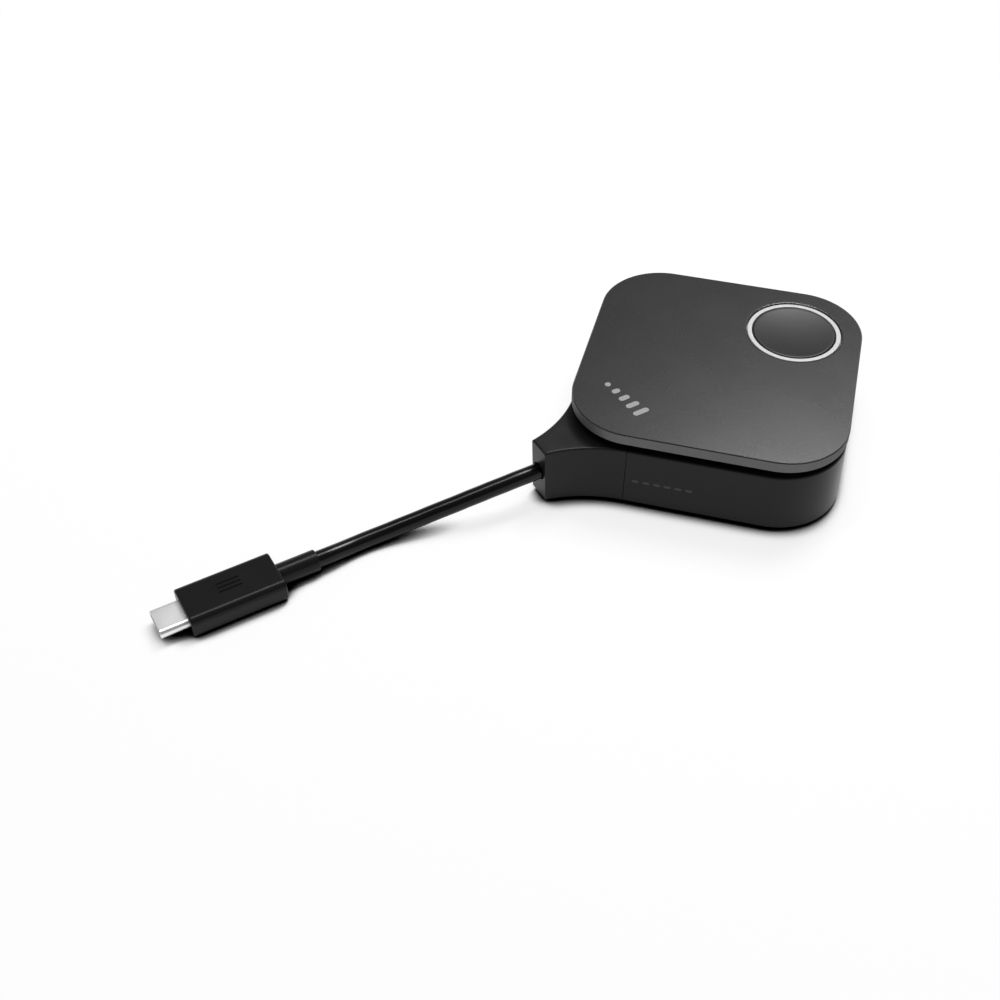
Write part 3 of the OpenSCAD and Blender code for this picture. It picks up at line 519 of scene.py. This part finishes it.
finishes = {
    "housing": surface("housingPlastic", (0.0115, 0.0115, 0.0119), 0.3, specular=0.18, grain=0.12,
                       depth=0.003, smudge=0.04),
    "cover_black": surface("coverPlastic", (0.006, 0.006, 0.006), 0.55, specular=0.2, grain=0.2, depth=0.008),
    "foot_rubber": surface("footRubber", (0.012, 0.012, 0.012), 0.8, specular=0.2, grain=0.3, depth=0.02),
    "screw_steel": surface("screwSteel", (0.42, 0.42, 0.43), 0.35, metallic=1, grain=0.08),
    "frame_black": surface("framePlastic", (0.004, 0.004, 0.004), 0.6, specular=0.1, grain=0.15),
    "plate_paint": sparklePaint("platePaint", (0.068, 0.0682, 0.069), (0.078, 0.078, 0.08), 0.275),
    "tape": surface("bondingTape", (0.5, 0.48, 0.42), 0.7, grain=0.5),
    "ring_diffuser": milkyPlastic("ringDiffuser", (0.58, 0.58, 0.575)),
    "cap_paint": sparklePaint("capPaint", (0.043, 0.0432, 0.044), (0.049, 0.049, 0.051), 0.36),
    "carrier_black": surface("carrierPlastic", (0.01, 0.01, 0.01), 0.5, specular=0.3),
    "spring_steel": surface("springSteel", (0.55, 0.55, 0.56), 0.25, metallic=1, grain=0.3),
    "circuit_board": solderMask("greenBoard", (0.012, 0.11, 0.05), (0.03, 0.2, 0.09)),
    "switch_black": surface("switchPlastic", (0.02, 0.02, 0.022), 0.5, specular=0.3),
    "switch_steel": surface("switchSteel", (0.6, 0.6, 0.61), 0.3, metallic=1, grain=0.2),
    "stem_plastic": surface("stemPlastic", (0.66, 0.63, 0.55), 0.4, grain=0.3, shade=0.03),
    "lamp": surface("lampLens", (0.85, 0.83, 0.72), 0.25, grain=0.3, shade=0.03),
    "chip": surface("chipPackage", (0.012, 0.012, 0.013), 0.6, specular=0.3, grain=0.15),
    "thermal_silicone": surface("heatPad", (0.2, 0.26, 0.31), 0.8, grain=0.6, depth=0.02),
    "spreader_metal": surface("spreaderSheet", (0.6, 0.6, 0.61), 0.38, metallic=1, grain=0.25),
    "ferrite": surface("ferriteBody", (0.13, 0.13, 0.135), 0.6, grain=0.2, depth=0.01),
    "ceramic": surface("ceramicBody", (0.25, 0.19, 0.13), 0.45, grain=0.2),
    "radio_board": solderMask("blueBoard", (0.01, 0.05, 0.18), (0.03, 0.1, 0.28)),
    "shield_steel": surface("shieldCan", (0.6, 0.61, 0.62), 0.32, metallic=1, grain=0.3),
    "antenna_copper": surface("antennaGilt", (0.75, 0.5, 0.2), 0.3, metallic=1, grain=0.2),
    "coax": surface("coaxJacket", (0.03, 0.03, 0.032), 0.5, specular=0.3),
    "ribbon_film": surface("ribbonFilm", (0.65, 0.6, 0.5), 0.4, grain=0.5, shade=0.05),
    "socket_plastic": surface("socketPlastic", (0.72, 0.68, 0.58), 0.45, grain=0.3, shade=0.04),
    "wire_jacket": surface("wireJacket", (0.4, 0.03, 0.02), 0.45, grain=0.2),
    "cable_jacket": surface("cableJacket", (0.0012, 0.0012, 0.0013), 0.23, specular=0.26, grain=0.1,
                            depth=0.0002, smudge=0.015),
    "grommet_rubber": surface("grommetRubber", (0.01, 0.01, 0.01), 0.6, specular=0.2),
    "plug_grip": surface("plugGrip", (0.007, 0.007, 0.0072), 0.28, specular=0.19, grain=0.12,
                         depth=0.002, smudge=0.03),
    "plug_steel": surface("plugSteel", (0.9, 0.9, 0.91), 0.37, metallic=1, grain=0.15,
                          depth=0.0006, shade=0.04, smudge=0.03),
    "plug_black": surface("plugInsulator", (0.01, 0.01, 0.01), 0.45, specular=0.3),
    "contact_gold": surface("contactGold", (0.85, 0.6, 0.25), 0.25, metallic=1, grain=0.1),
}
printGrey = surface("palePrint", (0.3, 0.3, 0.3), 0.5, specular=0.3, grain=0.1, depth=0.002, shade=0.06)
printDark = surface("darkPrint", (0.055, 0.055, 0.055), 0.45, specular=0.25, grain=0.1, depth=0.002,
                    shade=0.06)
# painted light: a lighter, less metallic copy of the plate's paint for the plate's outer side, standing in
# for the light that side catches
plateEdgeLightened = surface("plateEdgeLightened", (0.15, 0.15, 0.152), 0.5, metallic=0.5, specular=0.3, grain=0.1,
                    depth=0.001, shade=0.04)
plateEdgeLightened.node_tree.nodes["Principled BSDF"].inputs["Specular Tint"].default_value = (0.2, 0.2, 0.2, 1)
recessBlack = surface("recessBlack", (0.0015, 0.0015, 0.0015), 0.6, specular=0.1, grain=0.1)
lead.data.materials.append(finishes["cable_jacket"])
for part in frame["record"]["subparts"]:
    for holder in frame["nodes"][part["node"]].material_slots:
        holder.material = finishes[part["material_slot"]]
print("finishes mixed:", len(finishes))


# Housing and neck cover, cut apart at the seam

def housingSkin(sizes, name):
    low, high = nodeBox("base_shell")
    half = sizes["side"] / 2
    straight = high.z - sizes["rimRound"]

    def innerRing(height):
        # stops short of the neck's end, which stays solid there
        tip = sizes["neckReach"] - sizes["neckNose"]
        outline = puckOutline(sizes, half, sizes["neckReach"], tip, sizes["wall"])
        return [(x, y, height) for x, y in outline]

    def outerRing(inset, height):
        # the wall leans from its foot to just below the rim
        rise = min(1, max(0, (height - low.z) / (straight - low.z)))
        foot = half + sizes["flare"]
        footReach = sizes["neckReach"] - sizes["neckTuck"]
        lower = puckOutline(sizes, foot, footReach, footReach - inset, inset)
        upper = puckOutline(sizes, half, sizes["neckReach"], sizes["neckReach"] - inset, inset)
        return [(x + (topX - x) * rise, y + (topY - y) * rise, height)
                for (x, y), (topX, topY) in zip(lower, upper)]

    profile = softProfile([
        (sizes["wall"], low.z, 0), (0, low.z, sizes["footRound"]), (0, high.z, sizes["rimRound"]),
        (flatFrom(sizes["rimRound"]), high.z, 0)])
    rings = [innerRing(high.z - sizes["deck"]), innerRing(low.z)]
    rings += [outerRing(inset, height) for inset, height in profile[1:]]
    shape = bmesh.new()
    joinSolid(shape, rings)
    return newObject(name, shape, finishes["housing"])


def cornerBlock(sizes, gap):
    # a block over the neck's corner of the puck, its near faces along the seam
    near = -sizes["neckStart"] - gap
    far = near - sizes["side"]
    corners = [(near, near), (far, near), (far, far), (near, far)]
    turned = [((u + v) * math.sqrt(0.5), (v - u) * math.sqrt(0.5)) for u, v in corners]
    shape = bmesh.new()
    joinSolid(shape, [[(x, y, z) for x, y in turned] for z in sizes["blockReach"]])
    return newObject("cornerBlock", shape, finishes["housing"])


def cableDrill(sizes):
    # a rod along the cable's way through the neck's end
    x, y, z = leadSizes["route"][0]
    radius = leadSizes["diameter"] / 2 + sizes["holeGap"]
    outline = arc((0, 0), radius, 0, 360, sizes["drillSteps"])[:-1]
    ends = (x - sizes["drillOverrun"], x + sizes["neckNose"] + sizes["drillOverrun"])
    shape = bmesh.new()
    joinSolid(shape, [acrossRing(outline, end, (y, z)) for end in ends])
    return newObject("drill", shape, finishes["housing"])


def makeHousing(sizes):
    housing = housingSkin(sizes, "housing")
    carve(housing, cornerBlock(sizes, -sizes["seamGap"] / 2))
    finishSurface(housing, edgeRound=sizes["seamRound"])
    place(housing, "root", "housing", "base_shell")


def makeNeckCover(sizes):
    cover = housingSkin(sizes, "neckCover")
    carve(cover, cornerBlock(sizes, sizes["seamGap"] / 2), "INTERSECT")
    carve(cover, cableDrill(sizes))
    finishSurface(cover, edgeRound=sizes["seamRound"])
    place(cover, "root", "housing", "neck_cover")


makeHousing(puckSizes)
makeNeckCover(puckSizes)
print("housing and neck cover made")


# Posts and the button's well under the deck

postSizes = {
    "radius": 2.6,
    "bore": 1.02,
    "reach": 29.4,
    "lift": 3.4,
    "wellRadius": 15.6,
    "wellBore": 14.0,
    "wellLedge": 12.8,
    "wellFoot": 9.6,
    "ledgeTop": 11.0,
    "postSteps": 48,
    "wellSteps": 96,
}


def tube(shape, centre, outer, inner, low, high, steps):
    rings = [(inner, low), (outer, low), (outer, high), (inner, high)]
    joinRings(shape, [roundRing(centre, radius, z, steps) for radius, z in rings], closed=True)


def makePosts(sizes):
    top = nodeBox("base_shell")[1].z - puckSizes["deck"] / 2
    button = buttonCentre()
    shape = bmesh.new()
    for turn in (45, 135, 225, 315):
        a = math.radians(turn)
        post = (sizes["reach"] * math.cos(a), sizes["reach"] * math.sin(a))
        tube(shape, post, sizes["radius"], sizes["bore"], sizes["lift"], top, sizes["postSteps"])
    tube(shape, button, sizes["wellRadius"], sizes["wellLedge"], sizes["wellFoot"], sizes["ledgeTop"],
         sizes["wellSteps"])
    tube(shape, button, sizes["wellRadius"], sizes["wellBore"], sizes["ledgeTop"], top, sizes["wellSteps"])
    place(finishSurface(newObject("housingPosts", shape, finishes["housing"])), "root", "housing")


makePosts(postSizes)


# Top plate, light ring and button cap

plateSizes = {
    "side": 67.0,
    "corner": 16.2,
    "skin": 1.2,
    "band": 1.5,
    "edgeCut": 0.22,
    "footRound": 0.12,
    "hole": 12.05,
    "holeRound": 0.22,
    "edgeSteepness": 0.5,
    "edgeFromShare": 1.2,
    "cornerSteps": 36,
    "holeSteps": 160,
}


def makePlate(sizes):
    low, high = nodeBox("top_plate")
    button = buttonCentre()
    half = sizes["side"] / 2
    under = high.z - sizes["skin"]
    edge = softProfile([
        (sizes["band"], under, 0), (sizes["band"], low.z, sizes["footRound"]), (0, low.z, sizes["footRound"]),
        (0, high.z - sizes["edgeCut"], 0), (sizes["edgeCut"], high.z, 0),
        (flatFrom(sizes["edgeCut"]), high.z, 0)])
    bore = softProfile([
        (sizes["hole"] + flatFrom(sizes["holeRound"]), high.z, 0),
        (sizes["hole"], high.z, sizes["holeRound"]), (sizes["hole"], under, 0)])
    shape = bmesh.new()
    outer = joinRings(shape, [
        [(x, y, z) for x, y in squareOutline(half - inset, sizes["corner"] - inset, sizes["cornerSteps"])]
        for inset, z in edge])
    inner = joinRings(shape, [roundRing(button, radius, z, sizes["holeSteps"]) for radius, z in bore])
    fillBetween(shape, outer[-1], inner[0])
    fillBetween(shape, outer[0], inner[-1])
    plate = newObject("plate", shape, finishes["plate_paint"])
    plate.data.materials.append(plateEdgeLightened)
    # the outer edge has a lighter copy of the paint, painted light for the light its side catches, and the
    # hole's edge is painted like the top
    for face in plate.data.polygons:
        fromButton = (face.center.xy - Vector(button) * mm).length
        steep = abs(face.normal.z) < sizes["edgeSteepness"]
        if steep and fromButton > sizes["edgeFromShare"] * sizes["hole"] * mm:
            face.material_index = 1
    finishSurface(plate)
    place(plate, "root", "plate_paint", "top_plate")


buttonSizes = {
    "ringInner": 10.65,
    "ringOuter": 11.8,
    "ringRound": 0.14,
    "skirtOuter": 13.2,
    "skirtInner": 11.6,
    "skirtFoot": 13.2,
    "stop": 18.2,
    "flangeOuter": 14.2,
    "flangeLow": 19.6,
    "flangeTop": 20.6,
    "capRadius": 10.35,
    "capEdge": 0.45,
    "capRound": 0.2,
    "dishDepth": 0.5,
    "dishSteps": 24,
    "roundSteps": 160,
}


def makeLightRing(sizes):
    top = nodeBox("light_ring")[1].z
    profile = softProfile([
        (sizes["ringInner"], top, sizes["ringRound"]), (sizes["ringInner"], sizes["stop"], 0),
        (sizes["skirtInner"], sizes["stop"], 0), (sizes["skirtInner"], sizes["skirtFoot"], 0),
        (sizes["skirtOuter"], sizes["skirtFoot"], 0), (sizes["skirtOuter"], sizes["flangeLow"], 0),
        (sizes["flangeOuter"], sizes["flangeLow"], 0), (sizes["flangeOuter"], sizes["flangeTop"], 0),
        (sizes["ringOuter"], sizes["flangeTop"], 0), (sizes["ringOuter"], top, sizes["ringRound"])])
    shape = bmesh.new()
    joinRings(shape, [roundRing(buttonCentre(), radius, z, sizes["roundSteps"]) for radius, z in profile],
              closed=True)
    ring = finishSurface(newObject("lightRing", shape, finishes["ring_diffuser"]))
    place(ring, "root", "ring_diffuser", "light_ring")


def makeButtonCap(sizes):
    low, high = nodeBox("button_cap")
    rim = sizes["capRadius"] - sizes["capEdge"]
    ball = (rim ** 2 + sizes["dishDepth"] ** 2) / (2 * sizes["dishDepth"])
    profile = softProfile([
        (0, low.z, 0), (sizes["capRadius"], low.z, 0), (sizes["capRadius"], high.z, sizes["capRound"]),
        (rim, high.z, 0)])
    for i in range(sizes["dishSteps"] - 1, -1, -1):
        radius = rim * i / sizes["dishSteps"]
        rise = ball - math.sqrt(ball ** 2 - radius ** 2)
        profile.append((radius, high.z - sizes["dishDepth"] + rise))
    shape = bmesh.new()
    joinRings(shape, [roundRing(buttonCentre(), radius, z, sizes["roundSteps"]) for radius, z in profile])
    cap = finishSurface(newObject("buttonCap", shape, finishes["cap_paint"]))
    place(cap, "button", "cap_paint", "button_cap")


makePlate(plateSizes)
makeLightRing(buttonSizes)
makeButtonCap(buttonSizes)
print("plate, ring and cap made")


# Return spring under the button, wound at the height of its imported part

springSizes = {
    "radius": 4.9,
    "wire": 0.6,
    "turns": 4,
    "turnSteps": 24,
    "roundSteps": 3,
    "lengthSteps": 1,
    "travel": 0.5,
}


def makeSpring(sizes):
    low, high = nodeBox("return_spring")
    middle = buttonCentre()[0]
    foot = low.z + sizes["wire"] / 2
    rise = high.z - low.z - sizes["wire"]
    steps = sizes["turns"] * sizes["turnSteps"]
    points = [(middle + sizes["radius"] * math.cos(math.tau * i / sizes["turnSteps"]),
               sizes["radius"] * math.sin(math.tau * i / sizes["turnSteps"]), foot + rise * i / steps)
              for i in range(steps + 1)]
    spring = roundLine("returnSpring", points, sizes["wire"], sizes["roundSteps"], sizes["lengthSteps"])
    spring.data.materials.append(finishes["spring_steel"])
    place(spring, "root", "spring_steel", "return_spring")
    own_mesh(spring)


makeSpring(springSizes)
print("return spring wound")


# Plug: sleeve, grip and metal shell

plugSizes = {
    "gripEdge": 1.8,
    "gripEndRound": 0.45,
    "gripEdgeSteps": 10,
    "sleeveRound": 0.3,
    "sleeveMouthRound": 0.1,
    "sleeveGap": 0.02,
    "sleeveSteps": 64,
    "shellWall": 0.25,
    "shellLip": 0.1,
    "shellGap": 0.04,
    "shellDepth": 5.0,
    "shellSteps": 16,
    "markCount": 3,
    "markLength": 5.6,
    "markWidth": 0.6,
    "markPitch": 1.25,
    "markDepth": 0.14,
    "markOverrun": 1,
    "markPlaceShare": 0.5,
    "markAside": 0.4,
    "markSteps": 8,
}


def gripOutline(width, thick, edge, inset, steps):
    # a rectangle with four round corners, drawn in by an inset
    across, up = width / 2 - edge, thick / 2 - edge
    points = []
    for i, corner in enumerate([(across, up), (-across, up), (-across, -up), (across, -up)]):
        points += arc(corner, edge - inset, 90 * i, 90 * (i + 1), steps)
    return points


def barOutline(width, thick, steps):
    # a bar with round ends
    across, radius = (width - thick) / 2, thick / 2
    return arc((across, 0), radius, -90, 90, steps) + arc((-across, 0), radius, 90, 270, steps)


def plugCentre():
    low, high = nodeBox("plug_mould")
    return ((low.y + high.y) / 2, (low.z + high.z) / 2)


def makeSleeve(sizes):
    low, high = nodeBox("plug_sleeve")
    centre = plugCentre()
    outer = (high.y - low.y) / 2
    inner = leadSizes["diameter"] / 2 + sizes["sleeveGap"]
    profile = softProfile([
        (inner, low.x, 0), (outer, low.x, 0), (outer, high.x, sizes["sleeveRound"]),
        (inner, high.x, sizes["sleeveMouthRound"])])
    shape = bmesh.new()
    joinRings(shape, [acrossRing(arc((0, 0), radius, 0, 360, sizes["sleeveSteps"])[:-1], x, centre)
                      for radius, x in profile], closed=True)
    sleeve = finishSurface(newObject("plugSleeve", shape, finishes["plug_grip"]))
    place(sleeve, "root", "plug_grip", "plug_sleeve")
    return sleeve


def markCutter(sizes, centre, top, index):
    # one of the short grooves on the grip
    y = centre[1] + (index - (sizes["markCount"] - 1) / 2) * sizes["markPitch"]
    outline = barOutline(sizes["markLength"], sizes["markWidth"], sizes["markSteps"])
    shape = bmesh.new()
    joinSolid(shape, [[(centre[0] + along, y + across, z) for along, across in outline]
                      for z in (top - sizes["markDepth"], top + sizes["markOverrun"])])
    return newObject("groove", shape, recessBlack)


def makeGrip(sizes):
    low, high = nodeBox("plug_mould")
    shellLow, shellHigh = nodeBox("plug_shell")
    width, thick = high.y - low.y, high.z - low.z
    centre = plugCentre()
    gap = 2 * sizes["shellGap"]
    hole = barOutline(shellHigh.y - shellLow.y + gap, shellHigh.z - shellLow.z + gap, sizes["shellSteps"])
    flat = flatFrom(sizes["gripEndRound"])
    profile = softProfile([
        (flat, low.x, 0), (0, low.x, sizes["gripEndRound"]), (0, high.x, sizes["gripEndRound"]),
        (flat, high.x, 0)])
    shape = bmesh.new()
    body = joinRings(shape, [
        acrossRing(gripOutline(width, thick, sizes["gripEdge"], inset, sizes["gripEdgeSteps"]), x, centre)
        for inset, x in profile])
    bore = joinRings(shape, [acrossRing(hole, x, centre) for x in (low.x, low.x + sizes["shellDepth"])])
    fillBetween(shape, body[0], bore[0])
    shape.faces.new(bore[1])
    shape.faces.new(body[-1])
    grip = newObject("plugGrip", shape, finishes["plug_grip"])
    middle = (low.x + (high.x - low.x) * sizes["markPlaceShare"], centre[0] + sizes["markAside"])
    for i in range(sizes["markCount"]):
        carve(grip, markCutter(sizes, middle, high.z, i))
    finishSurface(grip)
    place(grip, "root", "plug_grip", "plug_mould")
    return grip


def makeShell(sizes):
    low, high = nodeBox("plug_shell")
    width, thick = high.y - low.y, high.z - low.z
    wall, lip = sizes["shellWall"], sizes["shellLip"]
    profile = softProfile([
        (0, high.x, 0), (0, low.x, lip), (wall, low.x, lip), (wall, high.x, 0)])
    shape = bmesh.new()
    joinRings(shape, [acrossRing(barOutline(width - 2 * inset, thick - 2 * inset, sizes["shellSteps"]), x,
                                 plugCentre()) for inset, x in profile], closed=True)
    shell = finishSurface(newObject("plugShell", shape, finishes["plug_steel"]))
    place(shell, "root", "plug_steel", "plug_shell")
    return shell


plugPieces = [makeSleeve(plugSizes), makeGrip(plugSizes), makeShell(plugSizes)]
plugPieces += [frame["nodes"][name] for name in ("plug_insulator", "plug_contacts", "plug_tail", "plug_card")]
routeLength(leadSizes["route"]) * mm
print("plug made")


# Plain printed marks: rising bars on the plate, and a row of dashes on the wall

markSizes = {
    "film": 0.02,
    "barWidth": 1.5,
    "barPitch": 3.1,
    "barLengths": (1.5, 2.2, 2.9, 3.6, 4.3),
    "barFoot": (-30.1, 6.2),
    "barSteps": 10,
    "dashLength": 1.7,
    "dashWidth": 0.75,
    "dashPitch": 2.6,
    "dashCount": 6,
    "dashStart": -13.9,
    "dashHeight": 8.2,
    "dashSteps": 8,
}


def slab(shape, outline, toPoint, film):
    # a film half sunk in a surface, onto which toPoint lays the outline
    joinSolid(shape, [[toPoint(along, up, lift) for along, up in outline] for lift in (-film, film)])


def makePlateMark(sizes):
    top = nodeBox("top_plate")[1].z
    footX, footY = sizes["barFoot"]
    shape = bmesh.new()
    for i, length in enumerate(sizes["barLengths"]):
        x = footX + length / 2
        y = footY - i * sizes["barPitch"]
        outline = barOutline(length, sizes["barWidth"], sizes["barSteps"])
        slab(shape, outline, lambda along, up, lift: (x + along, y + up, top + lift), sizes["film"])
    place(finishSurface(newObject("plateMark", shape, printGrey)), "root", "plate_paint")


def makeWallMark(sizes):
    low, high = nodeBox("base_shell")
    half = puckSizes["side"] / 2
    rim = high.z - puckSizes["rimRound"]
    lean = puckSizes["flare"] / (rim - low.z)
    outline = barOutline(sizes["dashLength"], sizes["dashWidth"], sizes["dashSteps"])
    shape = bmesh.new()
    for i in range(sizes["dashCount"]):
        start = sizes["dashStart"] + i * sizes["dashPitch"]

        def toPoint(along, up, lift):
            z = sizes["dashHeight"] + up
            out = -(half + lean * (rim - z)) - lift
            return ((start + along + out) * math.sqrt(0.5), (out - start - along) * math.sqrt(0.5), z)

        slab(shape, outline, toPoint, sizes["film"])
    place(finishSurface(newObject("wallMark", shape, printDark)), "root", "housing")


makePlateMark(markSizes)
makeWallMark(markSizes)
print("marks printed")


# Floor, world and lamps

studio = {
    "floorSize": 40000,
    "floorShift": 9000,
    "floorColour": (0.93, 0.93, 0.93),
    "floorRoughness": 0.9,
    "shadowMiddle": (-54, 0),
    "shadowReach": 110,
    "whiteReach": 400,
    "contactReach": 5,
    "contactSamples": 12,
    "openWhite": 0.8,
    # painted contact shadow: the occlusion range over which the floor's colour goes from black to its own
    "paintedShadowShare": (0.38, 0.72),
    "glowShare": (0.52, 0.9),
    "worldToward": (0.557, 0.658, 0.506),
    "worldTurn": (-0.5, 1),
    "worldStrength": (0.18, 0.27),
    "horizonBand": (0.16, 0.28),
    "lamps": [
        # name, place, aim, width, depth, watts
        ("keySoftbox", (390, 225, 799), (0, 0, 20), 300, 300, 6),
        ("overheadSoftbox", (-30, 185, 880), (-30, 0, 0), 600, 160, 2.8),
    ],
}


def calculate(tree, operation, first, second):
    step = tree.nodes.new("ShaderNodeMath")
    step.operation = operation
    tree.links.new(first, step.inputs[0])
    tree.links.new(second, step.inputs[1])
    return step.outputs[0]


def seenDirectly(tree):
    # 1 for the camera, and for what metal and glass show
    rays = tree.nodes.new("ShaderNodeLightPath").outputs
    seen = calculate(tree, "MAXIMUM", rays["Is Camera Ray"], rays["Is Glossy Ray"])
    return calculate(tree, "MAXIMUM", seen, rays["Is Transmission Ray"])


def ease(tree, value, source, target=(0, 1)):
    # a range turned into another, with a soft start and end
    return remap(tree, value, source, target, "SMOOTHSTEP")


def makeFloor(look):
    # a pale floor: real shadow where something stands near, painted contact shadow where its colour darkens
    # to black close to the object, and white in the open
    half, shift = look["floorSize"] / 2, look["floorShift"]
    left, right = shift - half, shift + half
    corners = [(left, -half, 0), (right, -half, 0), (right, half, 0), (left, half, 0)]
    shape = bmesh.new()
    shape.faces.new([shape.verts.new(Vector(corner) * mm) for corner in corners])
    material, tree, shader = shaderOf("paleFloor")
    shader.inputs["Roughness"].default_value = look["floorRoughness"]
    shader.inputs["Specular IOR Level"].default_value = 0
    glow = tree.nodes.new("ShaderNodeEmission")
    glow.inputs["Strength"].default_value = 1
    away = tree.nodes.new("ShaderNodeVectorMath")
    away.operation = "DISTANCE"
    away.inputs[1].default_value = (look["shadowMiddle"][0] * mm, look["shadowMiddle"][1] * mm, 0)
    tree.links.new(objectSpace(tree), away.inputs[0])
    openness = tree.nodes.new("ShaderNodeAmbientOcclusion")
    openness.inputs["Distance"].default_value = look["contactReach"] * mm
    openness.samples = look["contactSamples"]
    # painted contact shadow: the floor's colour goes to black where the ambient occlusion says something
    # stands close
    ground = tree.nodes.new("ShaderNodeMix")
    ground.data_type = "RGBA"
    ground.inputs["A"].default_value = (0, 0, 0, 1)
    ground.inputs["B"].default_value = (*look["floorColour"], 1)
    tree.links.new(ease(tree, openness.outputs["AO"], look["paintedShadowShare"]), ground.inputs["Factor"])
    tree.links.new(ground.outputs["Result"], shader.inputs["Base Color"])
    reach = (look["shadowReach"] * mm, look["whiteReach"] * mm)
    farWhite = ease(tree, away.outputs["Value"], reach, (look["openWhite"], 1))
    white = calculate(tree, "MULTIPLY", ease(tree, openness.outputs["AO"], look["glowShare"]), farWhite)
    blend = tree.nodes.new("ShaderNodeMixShader")
    tree.links.new(calculate(tree, "MULTIPLY", white, seenDirectly(tree)), blend.inputs[0])
    tree.links.new(shader.outputs[0], blend.inputs[1])
    tree.links.new(glow.outputs[0], blend.inputs[2])
    tree.links.new(blend.outputs[0], tree.nodes["Material Output"].inputs["Surface"])
    floor = newObject("floor", shape, material)


def makeWorld(look):
    # lighter behind the object than on the camera's side, with a plain white backdrop round the horizon
    world = bpy.data.worlds.new("studioWorld")
    world.use_nodes = True
    tree = world.node_tree
    space = tree.nodes.new("ShaderNodeTexCoord")
    toward = tree.nodes.new("ShaderNodeVectorMath")
    toward.operation = "DOT_PRODUCT"
    toward.inputs[1].default_value = look["worldToward"]
    tree.links.new(space.outputs["Generated"], toward.inputs[0])
    rise = tree.nodes.new("ShaderNodeSeparateXYZ")
    tree.links.new(space.outputs["Generated"], rise.inputs[0])
    horizon = ease(tree, rise.outputs["Z"], look["horizonBand"], (1, 0))
    backdrop = calculate(tree, "MULTIPLY", horizon, seenDirectly(tree))
    strength = tree.nodes.new("ShaderNodeMix")
    strength.inputs["B"].default_value = 1
    tree.links.new(backdrop, strength.inputs["Factor"])
    sky = ease(tree, toward.outputs["Value"], look["worldTurn"], look["worldStrength"])
    tree.links.new(sky, strength.inputs["A"])
    background = tree.nodes["Background"]
    background.inputs["Color"].default_value = (1, 1, 1, 1)
    tree.links.new(strength.outputs["Result"], background.inputs["Strength"])
    bpy.context.scene.world = world


def makeLamps(look):
    for name, spot, aim, width, depth, watts in look["lamps"]:
        light = bpy.data.lights.new(name, "AREA")
        light.shape = "RECTANGLE"
        light.size = width * mm
        light.size_y = depth * mm
        light.energy = watts
        lamp = bpy.data.objects.new(name, light)
        lamp.location = Vector(spot) * mm
        lamp.rotation_euler = (Vector(aim) - Vector(spot)).to_track_quat("-Z", "Y").to_euler()
        bpy.context.scene.collection.objects.link(lamp)


makeFloor(studio)
makeWorld(studio)
makeLamps(studio)
bpy.context.scene.view_settings.view_transform = "Standard"
print("studio lit")

bpy.context.view_layer.update()
